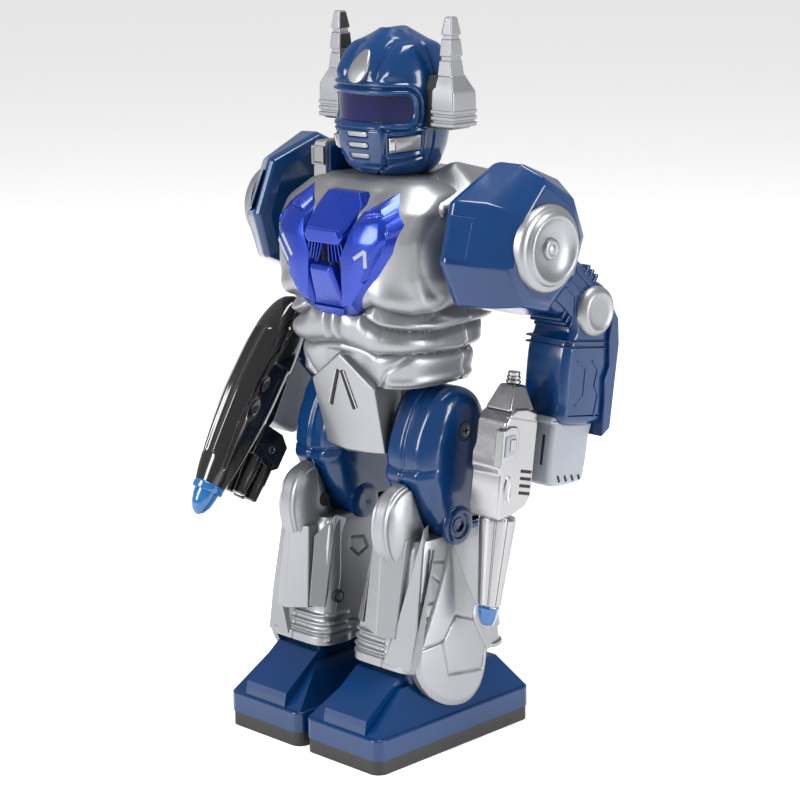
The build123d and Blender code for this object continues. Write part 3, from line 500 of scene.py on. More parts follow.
loft("chest_bar", [[(-12 * s, y, 230), (-10 * s, y, 230 + 3.4 * s), (10 * s, y, 230 + 3.4 * s), (12 * s, y, 230),
        (9.6 * s, y, 230 - 3.2 * s), (-9.6 * s, y, 230 - 3.2 * s)] for s, y in ((1, -24), (1, -30.6), (0.86, -31.8))],
    cobalt, "torso", bevel=0.5)
keel = [
    [(-6, -26, 219), (6, -26, 219), (10.5, -18, 196.5), (-10.5, -18, 196.5)],
    [(-6.6, -32.2, 217.4), (6.6, -32.2, 217.4), (10.2, -25.5, 197.6), (-10.2, -25.5, 197.6)],
    [(-5.4, -33.2, 215.6), (5.4, -33.2, 215.6), (8.6, -27.2, 199.6), (-8.6, -27.2, 199.6)],
]
loft("chest_keel", keel, cobalt, "torso", bevel=0.7)
loft("chest_chin", [[(-9.6, y0, 198.6), (9.6, y0, 198.6), (6.5, y1, 194.6), (-6.5, y1, 194.6)]
        for y0, y1 in ((-19, -19), (-27, -25), (-27.6, -25.4))], cobalt, "torso", bevel=0.6)
for side in ("left", "right"):
    flip = mirror(side)
    wing = [(26.4, 249), (37.2, 237), (34.6, 225), (25, 209.5), (15, 197), (9, 195.5), (8.5, 208), (8, 222),
        (12, 230), (15.2, 240.5), (19, 243)]
    shield(f"{side}_chest_wing", wing, chest, 3.6, cobalt, "torso", at=flip, rim=1.7, dome=0.6, depth=2, bevel=0.35,
        split=16, fill=24, relief=lambda u, v: -1.6 * groove(u, v, wing_line, 0.9))
    for k in range(5):
        x, z = 3.0 + 1.9 * k, 222.2 + 0.3 * k
        bar(f"{side}_chest_slat_{k}", (x - 1.0, -28.6, z + 4.6), (x + 0.6, -29.6 + 0.4 * k, z - 3.4), 0.38, 1.0,
            cobalt, "torso", up=(0, -1, 0), at=flip)
    # The vent opening behind the slats is a near-black block: painted shade inside the vent.
    prism(f"{side}_chest_vent", [(1.6, 217), (1.6, 228), (12.5, 228), (11, 214), (7.5, 214)], -27.4, -22, painted_shade,
        "torso", axis="y", at=flip)
    if side == "right":
        marks = [((20, 219.5), (27.5, 228)), ((22.8, 216.8), (30.3, 225.3))]
    else:
        marks = [((18.5, 222), (24.5, 225.8)), ((24.5, 225.8), (24.8, 218.6))]
    for k, ((x0, z0), (x1, z1)) in enumerate(marks):
        bar(f"{side}_chest_mark_{k}", (x0, chest_y(x0, z0) - 4.1, z0), (x1, chest_y(x1, z1) - 4.1, z1), 0.85, 0.3,
            grey, "torso", up=(0.2, -1, 0), at=flip, bevel=0.1)

# hip guard
guard = [(0, -22.6, 177), (19.6, -20.4, 163.2), (18.4, -12.6, 132), (0, -17.2, 131.6), (-18.4, -12.6, 132),
    (-19.6, -20.4, 163.2), (0, -19.2, 133.6), (13, -10, 176), (13, 4, 163), (12.6, 2, 131.5), (-12.6, 2, 131.5),
    (-13, 4, 163), (-13, -10, 176)]
make("hip_guard", guard, [(0, 1, 6), (0, 6, 5), (1, 2, 6), (6, 2, 3), (6, 3, 4), (5, 6, 4), (0, 7, 8, 1),
        (1, 8, 9, 2), (2, 9, 10, 4, 3), (4, 10, 11, 5), (5, 11, 12, 0), (0, 12, 7), (7, 12, 11, 8), (8, 11, 10, 9)],
    silver, "torso", bevel=0.9, segments=3)
# Each slot is a near-black bar: painted shade in the groove.
for sign in (-1, 1):
    for name, x0, z0, x1, z1, wide, tone in (("slot", 0.9, 169.5, 7.2, 152.5, 0.75, painted_shade),
        ("lip", 2.3, 169.5, 8.7, 153.2, 0.45, chrome)):
        y0, y1 = (-21.9 if z > 160 else -20.3 for z in (z0, z1))
        bar(f"hip_guard_{name}_{'left' if sign > 0 else 'right'}", (sign * x0, y0, z0), (sign * x1, y1, z1), wide,
            0.45, tone, "torso", up=(0.08 * sign, -1, -0.1))


# ---- head

head_stations = [
    (252.6, 0, 12.5, 1.5, 25), (255, 0, 17.5, -2.5, 29), (259, 0, 20.6, -5.4, 32), (268, 0, 23.6, -7.8, 34.6),
    (277, 0, 24.9, -8.3, 35.4), (289, 0, 25.2, -8.2, 35.6), (297, 0, 24.4, -6.4, 35), (303, 0, 22.4, -3.4, 33),
    (308, 0, 19.2, 0.4, 30), (312, 0, 14.5, 5, 26), (315.2, 0, 6.5, 10, 20),
]


head_power = 2.5
face_radius, face_depth, face_middle_y = 25.0, 22.0, 13.5
visor_z = 283.0
mouth_slots = (272.0, 267.2, 262.4)


def face_span(x, y):
    """Distance round the face from its middle."""
    return np.arctan2(x / face_radius, -(y - face_middle_y) / face_depth) * face_radius


def rounded_box(u, v, cu, cv, hu, hv, radius):
    """Signed distance to a box with rounded corners, negative inside."""
    du, dv = np.abs(u - cu) - hu + radius, np.abs(v - cv) - hv + radius
    return np.hypot(np.maximum(du, 0), np.maximum(dv, 0)) + np.minimum(np.maximum(du, dv), 0) - radius


def head_relief(x, y, z):
    span = face_span(x, y)
    s = np.abs(span)
    window = rounded_box(span, z, 0, visor_z, 27.5, 5.9, 4.5)
    off = -2.6 * ease(-window, -0.2, 0.7)
    off += 1.0 * hump(window - 1.5, 0.9) + 0.9 * hump(window - 4.4, 0.9) * (z > 277)
    off -= 0.7 * hump(window - 3.0, 0.5)
    crown = ease(z, 293, 298)
    off += crown * (1.7 * hump(x, 6.5) + 1.5 * hump(np.abs(x) - 16, 4.2) * (1 - ease(z, 308, 313)))
    off -= crown * 0.8 * hump(np.abs(x) - 9.5, 1.4) * (1 - ease(z, 309, 313))
    low = 1 - ease(z, 274.5, 276.5)
    muzzle = rounded_box(span, z, 0, 266, 13.2, 9.6, 3.5)
    off += low * (1.1 * ease(-muzzle, -0.4, 0.8) - 0.6 * hump(muzzle - 1.1, 0.5))
    for slot_z in mouth_slots:
        off -= 1.1 * ease(-rounded_box(span, z, -0.0, slot_z, 6.6, 1.5, 1.4), -0.1, 0.5)
    cheek = rounded_box(s, z, 23.5, 268.2 + (s - 23.5) * 0.1, 8.2, 4.0, 0.9)
    off -= low * 1.2 * ease(-cheek, -0.1, 0.5)
    off += low * 0.7 * hump(cheek - 1.5, 0.9)
    for k in range(3):
        off += (0.35 * groove(s, z, [(14.5, 276 - 1.4 * k), (19, 274.6 - 1.4 * k), (34, 275.4 - 1.4 * k)],
                0.45) * (s > 12))
    off -= 0.7 * groove(s, z, [(4, 252), (12, 257), (17, 259), (34, 262)], 0.6)
    off -= 0.6 * hump(y - 14, 0.5)
    return off


helmet = skin("helmet", head_stations, blue, "head", 260, 380, power=head_power, relief=head_relief, crisp=50)
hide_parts("head_front_shell", "head_back_shell")
glass = skin("visor_glass", head_stations, visor_blue, "head", 40, 200, span=(visor_z - 6.1, visor_z + 6.1),
    power=head_power, arc=(radians(14), radians(166)), relief=lambda x, y,
    z: -1.5 + 0.018 * np.sin(face_span(x, y) * 3.2), caps=False, crisp=50)
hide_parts("visor")


def face_point(span, z, lift):
    """Point on the face at a distance round it and a height, lifted off the helmet."""
    _, half, front, back = section(head_stations, z)
    a = span / face_radius
    x, y = face_radius * sin(a), -face_depth * cos(a)
    depth = (back - front) / 2
    reach = (abs(x / half) ** head_power + abs(y / depth) ** head_power) ** (1 / head_power)
    k = (1 + lift / 24) / reach
    return (float(x * k), float((front + back) / 2 + y * k), z)


def face_plate(name, middle_span, middle_z, half_span, half_z, low, high, material, tilt=0.0, round_by=0.35,
    corner=1.2):
    """Small cushion-edged plate set in the face."""
    rings = []
    corners = [(su * (half_span - corner) + corner * cos(t), sv * (half_z - corner) + corner * sin(t))
               for su, sv, start in ((1, 1, 0), (-1, 1, pi / 2), (-1, -1, pi), (1, -1, 3 * pi / 2))
               for t in np.linspace(start, start + pi / 2, 7)]
    for scale, lift in ((1, low), (1, high - 0.5), (1 - round_by * 0.3, high - 0.15), (1 - round_by, high),
        (0.3, high + 0.05)):
        rings.append([face_point(middle_span + u * scale, middle_z + v * scale + (u * tilt), lift)
                for u, v in corners])
    return loft(name, rings, material, "head", crisp=50)


for k, slot_z in enumerate(mouth_slots):
    face_plate(f"mouth_bar_{k}", 0, slot_z, 5.9, 1.15, -1.6, 1.5, silver, corner=1.1)
for side, sign in (("left", 1), ("right", -1)):
    face_plate(f"{side}_cheek_vent", sign * 23.4, 268.2, 7.4, 3.3, -1.6, 1.5, silver, tilt=0.1 * sign, corner=0.5,
        round_by=0.22)
    face_plate(f"{side}_cheek_end", sign * 17.6, 267.6, 1.5, 2.7, 0.4, 2.0, chrome, tilt=0.1 * sign, corner=0.4,
        round_by=0.3)
crest_z = 301.2
crest = [(5.2 * cos(t) * (1 - 0.16 * sin(t)), crest_z + 7.6 * sin(t))
    for t in np.linspace(0, 2 * pi, 48, endpoint=False)]
crest_rings = []
for scale, lift in ((1, 0.0), (1, 2.6), (0.94, 3.5), (0.82, 3.7), (0.6, 3.8), (0.3, 3.9), (0.05, 3.9)):
    crest_rings.append([face_point(u * scale, crest_z + (z - crest_z) * scale, lift) for u, z in crest])
loft("brow_crest", crest_rings, silver, "head", crisp=60)


for side in ("left", "right"):
    flip = mirror(side)
    stack(f"{side}_ear_pod", [(274.6, 30, 39, 9.5, 21), (276.4, 29, 40.6, 8.2, 22.4), (284.6, 28.4, 41.3, 7.8, 23),
            (290.5, 28.6, 41.2, 8, 22.8), (295.4, 29.4, 38.6, 10.2, 20.8), (297.6, 29.8, 37.6, 11, 20)], silver,
        "head", at=flip, bevel=0.9, segments=3, hides=(f"{side}_ear_antenna",))
    # Near-black block between the ear pod and the helmet: painted shade in the gap under the pod.
    stack(f"{side}_ear_base", [(274.8, 23, 31, 9, 21.5), (292, 23.4, 31, 8.6, 22), (297, 23, 30.5, 11, 20)], painted_shade,
        "head", at=flip, bevel=0.6)
    for k, rib_z in enumerate((276.6, 279.3, 282.0)):
        stack(f"{side}_ear_rib_{k}", [(rib_z - 0.95, 28.4, 41.3, 7.5, 23.1), (rib_z + 0.95, 28.3, 41.5, 7.4, 23.3)],
            silver, "head", at=flip, bevel=0.6, segments=3)
    segments = [(297, 304.4, 3.8, 4.6), (305.4, 313.4, 3.35, 4.0), (314.4, 322.8, 2.9, 3.4)]
    for k, (low, high, half_x, half_y) in enumerate(segments):
        lean = 33.7 + 0.2 * k
        top = 0.86 if k < 2 else 0.62
        stack(f"{side}_antenna_{k}", [(low, lean - half_x, lean + half_x, 15 - half_y, 15 + half_y),
                (high - 0.6, lean - half_x * top, lean + half_x * top * 0.9, 15 - half_y * top, 15 + half_y * top)],
            silver, "head", at=flip, bevel=0.55, segments=3)
        # Near-black strip on the inner face of each antenna segment: painted shade on that side.
        strip = [(z, x - 0.5, x + 1.2, 15 - y, 15 + y) for z, x, y in (
            (low + 0.3, lean - half_x, half_y * 0.84), (high - 1.2, lean - half_x * top, half_y * top * 0.8))]
        stack(f"{side}_antenna_back_{k}", strip, painted_shade, "head", at=flip, bevel=0.2)
    stack(f"{side}_antenna_core", [(296, 30.5, 36.9, 11.0, 19.0), (319, 32.0, 36.0, 12.8, 17.2)], silver, "head",
        at=flip, bevel=0.3)

# ---- arms

pad_rings = [
    (53.6, [(17, 256), (-6, 244), (-11, 223), (-4, 207), (17, 202), (38, 210), (46, 229), (36, 250)]),
    (55.6, [(17, 261), (-10, 247.5), (-16.4, 223), (-8, 204), (17, 197.6), (42, 206.5), (51.5, 229), (40, 254.5)]),
    (59.0, [(17.5, 262.3), (-10.6, 248.4), (-17, 222.4), (-8, 203.4), (17.6, 197), (43, 206.4), (52.6, 229),
        (41, 255.6)]),
    (70.5, [(19.5, 262), (-3.4, 247.4), (-10.5, 221), (-0.6, 202.6), (21, 196.4), (43.6, 207), (52.6, 229),
        (43, 252.6)]),
    (80.4, [(22, 257.2), (5.6, 242.6), (-1.4, 220), (8.6, 203.2), (24.6, 199), (41.4, 211), (48.4, 228.6),
        (41.6, 245.6)]),
    (82.2, [(21.4, 253.6), (8, 240.8), (2, 221.4), (10.6, 207), (24, 203), (38.2, 213.4), (44.4, 228.4),
        (39, 242.6)]),
]
cap_profile = [(80.4, 18.9), (83.6, 18.9), (84.9, 18.5), (85.6, 17.7), (85.8, 16.6), (86.2, 15.9), (87.2, 15.6),
    (88.1, 15.0), (88.4, 14.3), (88.3, 13.6), (87.6, 12.9), (86.4, 11.6), (85.4, 9.4), (84.8, 6.6), (84.7, 4.9),
    (85.2, 4.6), (86.0, 4.5), (86.5, 3.9), (86.6, 2.9), (86.3, 2.4), (86.5, 1.6), (86.9, 0.8), (87.0, 0.02)]
upper_outline = [(-11, -2), (-12.6, -16), (-12.8, -34), (-10.6, -44), (-11.5, -52), (-6, -61), (5, -62.5),
    (12.4, -55), (13.4, -42), (12.4, -24), (11.4, -2)]
fore_outline = [(0, 13.2), (-7, 11.3), (-11.6, 6.2), (-13, 0), (-12.2, -9), (-14.2, -14), (-15.2, -22), (-14.6, -40),
    (-12.2, -50), (11.6, -50), (13.6, -40), (14.4, -22), (13, -10), (13.2, 0), (11.6, 6.2), (7, 11.3)]
hand_outline = [(-12.6, -46), (-14.4, -52), (-15, -60), (-14.8, -73), (-12.6, -77.6), (-7, -78.6), (7.6, -76.6),
    (10.4, -70), (11, -58), (10.6, -46)]
arm_angles = {"left": (47.8, -8.5), "right": (37.5, -42.0)}

for side in ("left", "right"):
    flip = mirror(side)
    upper, lower = f"{side}_upper_arm", f"{side}_forearm"
    tilt = turned(17.5, 229, -9, lift=4) if side == "right" else Matrix.Identity(4)
    rings = [[(x, y, z) for y, z in outline] for x, outline in pad_rings]
    loft(f"{side}_pad", rings, blue, upper, at=flip @ tilt, bevel=1.1, segments=3, crisp=20,
        hides=(f"{side}_shoulder_pad",))
    window = [(59.6, -12.4, 243), (68, -6.2, 241.6), (68.2, -11.6, 223.6), (59.8, -17.6, 225.4)]
    middle = [sum(p[k] for p in window) / 4 for k in range(3)]
    rings = [[[m + (p - m) * s + d for p, m, d in zip(point, middle, (-0.35 * lift, -0.8 * lift, 0))]
            for point in window] for s, lift in ((1.0, -0.8), (1.0, 0.7), (0.86, 1.1), (0.8, 0.8), (0.1, 0.8))]
    loft(f"{side}_pad_window", rings, blue, upper, at=flip @ tilt, bevel=0.35, crisp=20)
    lathe(f"{side}_pad_cap", cap_profile, (0, 21 if side == "left" else 19, 227), silver, upper, at=flip @ tilt,
        count=96, hides=(f"{side}_shoulder_cap",), crisp=50)

    at = arm_frame(side, "shoulder_swing", arm_angles[side][0])
    pillow(f"{side}_arm_upper", smooth_outline(upper_outline, 120), 58, 78, 3.4, blue, upper, at=at,
        hides=(f"{side}_upper_arm",), crisp=50)
    pillow(f"{side}_arm_core", smooth_outline([(-8, -20), (-9.5, -34), (-8, -46), (7, -50), (10, -34), (9, -20)], 64),
        76, 79.6, 1.2, blue, upper, at=at)
    for k, path in enumerate([[(-10.4, -24), (-2, -30), (-2, -37), (-9, -43)],
            [(-6.5, -21), (2.5, -27.5), (2.5, -40), (-4, -46)], [(10.6, -25), (7, -31), (7, -42)]]):
        raised_line(f"{side}_arm_line_{k}", 79.5, path, 0.55, upper, at)
    for k, z in enumerate((-37, -40.5, -44)):
        pillow(f"{side}_arm_ring_{k}", smooth_outline([(-12.9, z), (-12.6, z - 1.8), (0, z - 2.2), (13.2, z - 1.8),
                (13.4, z), (0, z + 0.3)], 48), 57.6, 78.4, 0.8, blue, upper, at=at)

    at = arm_frame(side, "elbow_bend", arm_angles[side][1])
    pillow(f"{side}_arm_lower", smooth_outline(fore_outline, 140), 55.5, 80.5, 4.2, blue, lower, at=at,
        hides=(f"{side}_forearm",), crisp=50)
    for k, z in enumerate((-12.6, -15.4)):
        pillow(f"{side}_arm_band_{k}", smooth_outline([(-13.4, z), (-13.8, z - 1.4), (0, z - 1.6), (13.6, z - 1.4),
                (13.4, z), (0, z + 0.1)], 48), 55.2, 80.9, 0.6, blue, lower, at=at)
    prism(f"{side}_arm_fin", [(11, 2), (15.4, -3), (17.6, -14), (17.2, -52), (12, -56), (11.5, -40), (10, -30),
            (12.4, -24), (10.4, -12)], 66, 82.2, blue, lower, at=at, bevel=0.7, segments=3)
    for k, path in enumerate([[(-8, -22), (-2, -25), (-2, -38), (-7, -42)],
            [(2, -22), (6.4, -26), (5, -33), (8, -37), (6.6, -47)]]):
        raised_line(f"{side}_arm_seam_{k}", 80.4, path, 0.5, lower, at)
    lathe(f"{side}_elbow_disc", [(79, 11.2), (81.4, 11.2), (82.6, 10.6), (83.6, 9.4), (84.2, 8.6), (84.2, 8.0),
            (83.8, 7.4), (83.6, 5), (83.7, 0.02)], (0, 0, 0), silver, lower, at=at, count=72,
        hides=(f"{side}_elbow_pin",), crisp=50)
    pillow(f"{side}_fist", smooth_outline(hand_outline, 110), 57.5, 76.5, 2.8, grey, lower, at=at,
        hides=(f"{side}_hand",), crisp=50)
    pillow(f"{side}_fist_cuff", smooth_outline([(-13.6, -47), (-14.8, -50.4), (11.6, -50.4), (11.4, -47)], 48), 56.8,
        77.2, 1.2, grey, lower, at=at)
    # The slit on the fist's edge and the ticks between the fingers are near-black: painted shade in these creases.
    prism(f"{side}_fist_slit", [(-15.2, -55.6), (-12.5, -55.6), (-12.5, -69), (-15.2, -69)], 70.8, 72.4, painted_shade, lower,
        at=at, bevel=0.3)
    for k in range(4):
        bar(f"{side}_fist_tick_{k}", (76.6, -9 + 4.6 * k, -73.4), (76.6, -7.4 + 4.6 * k, -76.2 + 0.2 * k), 0.5, 0.25,
            painted_shade, lower, up=(1, 0, 0), at=at, bevel=0.1)

# ---- weapons

at = arm_frame("left", "elbow_bend", arm_angles["left"][1])
body = "left_forearm"
gx, gy = 63.5, -31
receiver = [(gy + 3.4, -43.6), (gy + 10.4, -45.6), (gy + 11.2, -52), (gy + 11.2, -82), (gy + 8, -87), (gy + 1, -90.2),
    (gy - 9, -92.6), (gy - 10.4, -88), (gy - 10.4, -72), (gy - 11.6, -70), (gy - 11.6, -64), (gy - 10, -60),
    (gy - 10, -50), (gy - 7.4, -46), (gy - 3.4, -43.6)]
prism("gun_receiver", receiver, gx - 8.5, gx + 8.5, chrome, body, at=at, bevel=1.8, segments=4,
    hides=("left_gun_body",))
stack("gun_hood", [(-45, gx - 7.4, gx + 7.4, gy - 7.4, gy + 9.6), (-43.6, gx - 7, gx + 7, gy - 6.8, gy + 9),
        (-35, gx - 4.6, gx + 4.6, gy - 3, gy + 6), (-33.8, gx - 4, gx + 4, gy - 2.4, gy + 5.4)], chrome, body, at=at,
    bevel=1.0, segments=3)
for k, z in enumerate((-32.8, -31.0, -29.2)):
    lathe(f"gun_nozzle_{k}", [(-0.95, 2.6), (-0.5, 3.4 - 0.3 * k), (0.5, 3.4 - 0.3 * k), (0.95, 2.4)],
        (gx, gy + 1.5, z), chrome, body, axis="z", at=at, count=40)
port = [(gy - 12.6, -53), (gy - 8, -51), (gy - 3.6, -51), (gy - 1.6, -54), (gy - 1.6, -62), (gy - 4.6, -66.4),
    (gy - 8, -66.4), (gy - 12.2, -69)]
prism("gun_port_rim", port, gx + 5, gx + 9.7, chrome, body, at=at, bevel=0.7, segments=3)
prism("gun_port", [(gy - 10.6, -55.2), (gy - 5, -54.4), (gy - 3.6, -56.4), (gy - 3.6, -61), (gy - 5.4, -63.6),
        (gy - 10.6, -64.4)], gx + 5, gx + 10.3, grey, body, at=at, bevel=0.5)
prism("gun_port_pane", [(gy - 8.4, -56.4), (gy - 5, -56.2), (gy - 4.6, -61), (gy - 8.2, -61.8)], gx + 9, gx + 10.9,
    chrome, body, at=at, bevel=0.4)
# Near-black vent bars: painted shade in the vent slots.
for k in range(4):
    bar(f"gun_vent_{k}", (gx + 8.45, gy + 2.6, -71 - 3.2 * k), (gx + 8.45, gy + 9.4, -71.8 - 3.2 * k), 0.7, 0.35,
        painted_shade, body, up=(1, 0, 0), at=at, bevel=0.15)
drop = [(1.9 * cos(t), 4.6 * sin(t) * (1.25 if sin(t) < 0 else 1))
    for t in np.linspace(0, 2 * pi, 32, endpoint=False)]
rings = [[(gx + x, gy - 5.4 + y * s, -78.6 + z * s) for y, z in drop]
         for s, x in ((1.25, 8.0), (1.25, 8.6), (1.05, 9.0), (0.85, 8.7), (0.1, 8.55))]
loft("gun_dimple", rings, chrome, body, at=at, crisp=50)
bar("gun_crease", (gx + 8.5, gy - 10.2, -47), (gx + 8.5, gy + 9, -49.6), 0.35, 0.3, silver, body, up=(1, 0, 0), at=at,
    bevel=0.2)
prism("gun_grip", [(gy + 9, -57), (-12, -57), (-12, -73), (gy + 9, -73)], gx - 4, gx + 4, grey, body, at=at,
    bevel=0.8)
lathe("gun_neck", [(-104, 5.4), (-86, 5.4)], (gx, gy, 0), silver, body, axis="z", at=at)
flute_angles = np.linspace(0, 2 * pi, 160, endpoint=False)
fluted = []
for z, radius in ((-92.2, 5.6), (-92.2, 7.6), (-93.2, 8.3), (-94.6, 8.3), (-131.4, 5.3), (-132, 4.8), (-132, 3)):
    ring = []
    for t in flute_angles:
        r = radius - 0.55 * (cos(t * 10) < -0.72) * (radius > 5 and z < -93)
        ring.append((gx + r * cos(t), gy + r * sin(t), z))
    fluted.append(ring)
loft("gun_tube", fluted, chrome, body, at=at, bevel=0.25, crisp=35, hides=("left_gun_barrel",))
lathe("gun_lens", [(-130, 4.3), (-132.4, 4.5), (-133, 4.9), (-137.6, 4.2), (-140.6, 2.9), (-141.6, 0.05)],
    (gx, gy, 0), azure, body, axis="z", at=at, count=8, bevel=0.4, crisp=20, hides=("left_gun_tip",))

body = "right_forearm"
bx, by = 58.5, -28.5
at = arm_frame("right", "elbow_bend", arm_angles["right"][1]) @ turned(by, -63, 6.9)


def blaster_relief(x, y, z):
    """Long lens-shaped hollows, a spine and a hood step on the outer faces."""
    side = np.arctan2(x - bx, -(y - by)) * 11
    off = -0.7 * groove(side, z, [(-16, -42), (-11.5, -60), (-10, -92), (-13, -114)], 0.6)
    off -= 0.7 * groove(side, z, [(16, -42), (11.5, -60), (10, -92), (13, -114)], 0.6)
    off += (0.9 * groove(side, z, [(-3.5, -48), (-3, -72), (-3.5, -108)], 1.6)
        + 0.9 * groove(side, z, [(3.5, -48), (3, -72), (3.5, -108)], 1.6))
    for pit in ((-13, -72), (-13, -84), (13, -72), (13, -84)):
        off -= 1.6 * np.exp(-(((side - pit[0]) / 1.7) ** 2) - (((z - pit[1]) / 3.2) ** 2))
    off += 1.0 * ease(z, -62, -60) * (1 - ease(z, -36, -32)) * (np.abs(side) > 13)
    return off


blaster_stations = [(-124.5, bx, 6.4, by - 6.2, by + 6.4), (-116, bx, 8.0, by - 8, by + 8.2),
    (-104, bx, 9.2, by - 9.6, by + 9.6), (-92, bx, 10.4, by - 10.8, by + 10.6), (-76, bx, 11.2, by - 11.8, by + 11.2),
    (-58, bx, 11.2, by - 11.4, by + 11), (-44, bx, 10.2, by - 10, by + 10), (-34, bx, 8.2, by - 7.4, by + 8),
    (-28.6, bx, 5.2, by - 4.4, by + 5), (-26.6, bx, 2, by - 1.6, by + 2)]
shell = skin("blaster_hull", blaster_stations, black, body, 220, 180, power=2.6, relief=blaster_relief, at=at,
    crisp=50)
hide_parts("right_blaster_shell")
prism("blaster_guard", [(by + 8, -58), (by + 15, -64), (by + 17, -82), (by + 12, -96), (by + 6, -104), (by + 8, -92),
        (by + 11, -80), (by + 10, -68)], bx - 4, bx + 4, black, body, at=at, bevel=1.2, segments=3)
prism("blaster_block", [(by + 9, -86), (-6, -86), (0, -90), (0, -101), (-4, -104), (by + 9, -101)], bx - 7.4,
    bx + 7.4, black, body, at=at, bevel=0.9, segments=3, hides=("right_blaster_barrels",))
for k, (x, y) in enumerate(((bx - 3.8, -13.6), (bx + 3.8, -13.6), (bx - 3.8, -5.4), (bx + 3.8, -5.4))):
    lathe(f"blaster_pipe_{k}", [(-120, 0.3), (-120, 2.2), (-119.4, 3.1), (-112, 3.4), (-111, 3.8), (-100, 3.8)],
        (x, y, 0), black, body, axis="z", at=at, count=36, bevel=0.2)
lathe("blaster_collar", [(-126.4, 4), (-126.4, 7.0), (-125.4, 7.5), (-123.2, 7.5), (-122.4, 6.8)], (bx, by, 0), azure,
    body, axis="z", at=at, hides=("right_blaster_tip",))
lathe("blaster_bullet", [(-126, 5.9), (-128.5, 5.7), (-132.6, 4.7), (-135.6, 3.0), (-137.0, 1.2), (-137.3, 0.05)],
    (bx, by, 0), azure, body, axis="z", at=at)


def screw(name, centre, radius, body, at=None, material=steel, cup=True):
    """Crosshead screw facing +X, set in a cup of painted shade for its recess, with its cross slots in painted shade
    too.
    """
    x, y, z = centre
    if cup:
        lathe(f"{name}_cup", [(x - 2, radius * 1.35), (x + 0.12, radius * 1.35), (x + 0.12, radius * 1.12),
                (x - 0.9, radius * 1.05), (x - 0.9, 0.02)], (0, y, z), painted_shade, body, at=at, count=40)
    lathe(f"{name}_head", [(x - 1.2, radius * 0.95), (x - 0.35, radius * 0.95), (x + 0.05, radius * 0.6),
            (x + 0.1, 0.02)], (0, y, z), material, body, at=at, count=40)
    for k, (dy, dz) in enumerate(((radius * 0.55, 0), (0, radius * 0.55))):
        bar(f"{name}_cross_{k}", (x + 0.06, y - dy, z - dz), (x + 0.06, y + dy, z + dz), radius * 0.13, 0.12, painted_shade,
            body, up=(1, 0, 0), at=at, bevel=0.02)


screw("blaster_screw", (-bx + 7.5, -9, -95), 2.6, body, at=at @ Matrix.Scale(-1, 4, (1, 0, 0)), cup=False)


# ---- legs

thigh_inner_x, thigh_seam_x, thigh_outer_x = 14.4, 29.3, 44.4
thigh_round = 8.0
thigh_outline = smooth_outline([(-6.6, 151), (-12.0, 139), (-13.4, 125), (-9.2, 112), (-3.4, 101), (1.5, 94.6),
        (7.5, 92.6), (14.5, 96), (27, 97.4), (29.4, 112), (30.4, 137), (24, 156), (11.5, 162.4), (0.4, 159.4)], 420)
leaf_x = 29.8  # middle of the kneecap
dome_steps = (0.05, 0.2, 0.35, 0.5, 0.63, 0.74, 0.83, 0.89)
leaf = smooth_outline([(-14.4, 121.4), (-21.4, 119), (-26.4, 113.6), (-28.6, 107), (-29, 99.5), (-27, 91),
        (-22.6, 84.6), (-18.4, 81.8), (-12.4, 83), (-6.4, 88.6), (-3.4, 95), (-6.4, 104), (-9.6, 111.5),
        (-12.4, 118)], 150)
fender = smooth_outline([(2, 96), (-3.4, 85), (-9.4, 73.5), (-17, 60), (-22.8, 49), (-23.8, 39), (-16.4, 28),
        (-5, 21), (7, 19.4), (16, 24.6), (20.8, 36), (20.4, 49), (16, 63), (8.4, 81)], 90)
shin_stations = [(40, 27.7, 19.6, -27, 35), (44, 27.8, 19.4, -26.4, 34.6), (56, 28, 18.4, -24.4, 33),
    (70, 28.3, 17.2, -22.2, 31), (84, 28.6, 15.9, -20, 29), (93, 28.7, 15, -18.4, 28), (97, 28.7, 14, -16, 26)]


def thigh_shape(points, x):
    """Soft front facets, the low seam and the raised rib of the thigh shell."""
    y, z = points[:, 0], points[:, 1]
    ahead = 1 - ease(y, 2, 9)
    drop = 0.95 * groove(np.full_like(z, x), z, [(10, 129.5), (29, 126.6), (48, 129.5)], 0.75) * ahead
    drop += 1.3 * ease(np.abs(x - thigh_seam_x), 8.5, 13.5) * ease(z, 111, 120) * (1 - ease(z, 146, 154)) * ahead
    return drop - 0.9 * hump(z - 123.5, 2.4) * ahead


def offset_in(points, inset):
    """Points moved inward along the outline's own normals."""
    along = np.roll(points, -1, axis=0) - np.roll(points, 1, axis=0)
    normal = np.stack([-along[:, 1], along[:, 0]], axis=1)
    normal /= np.linalg.norm(normal, axis=1)[:, None]
    area = np.sum(points[:, 0] * np.roll(points, -1, axis=0)[:, 1] - np.roll(points, -1, axis=0)[:, 0] * points[:, 1])
    return points + (normal if area > 0 else -normal) * np.reshape(inset, (-1, 1))


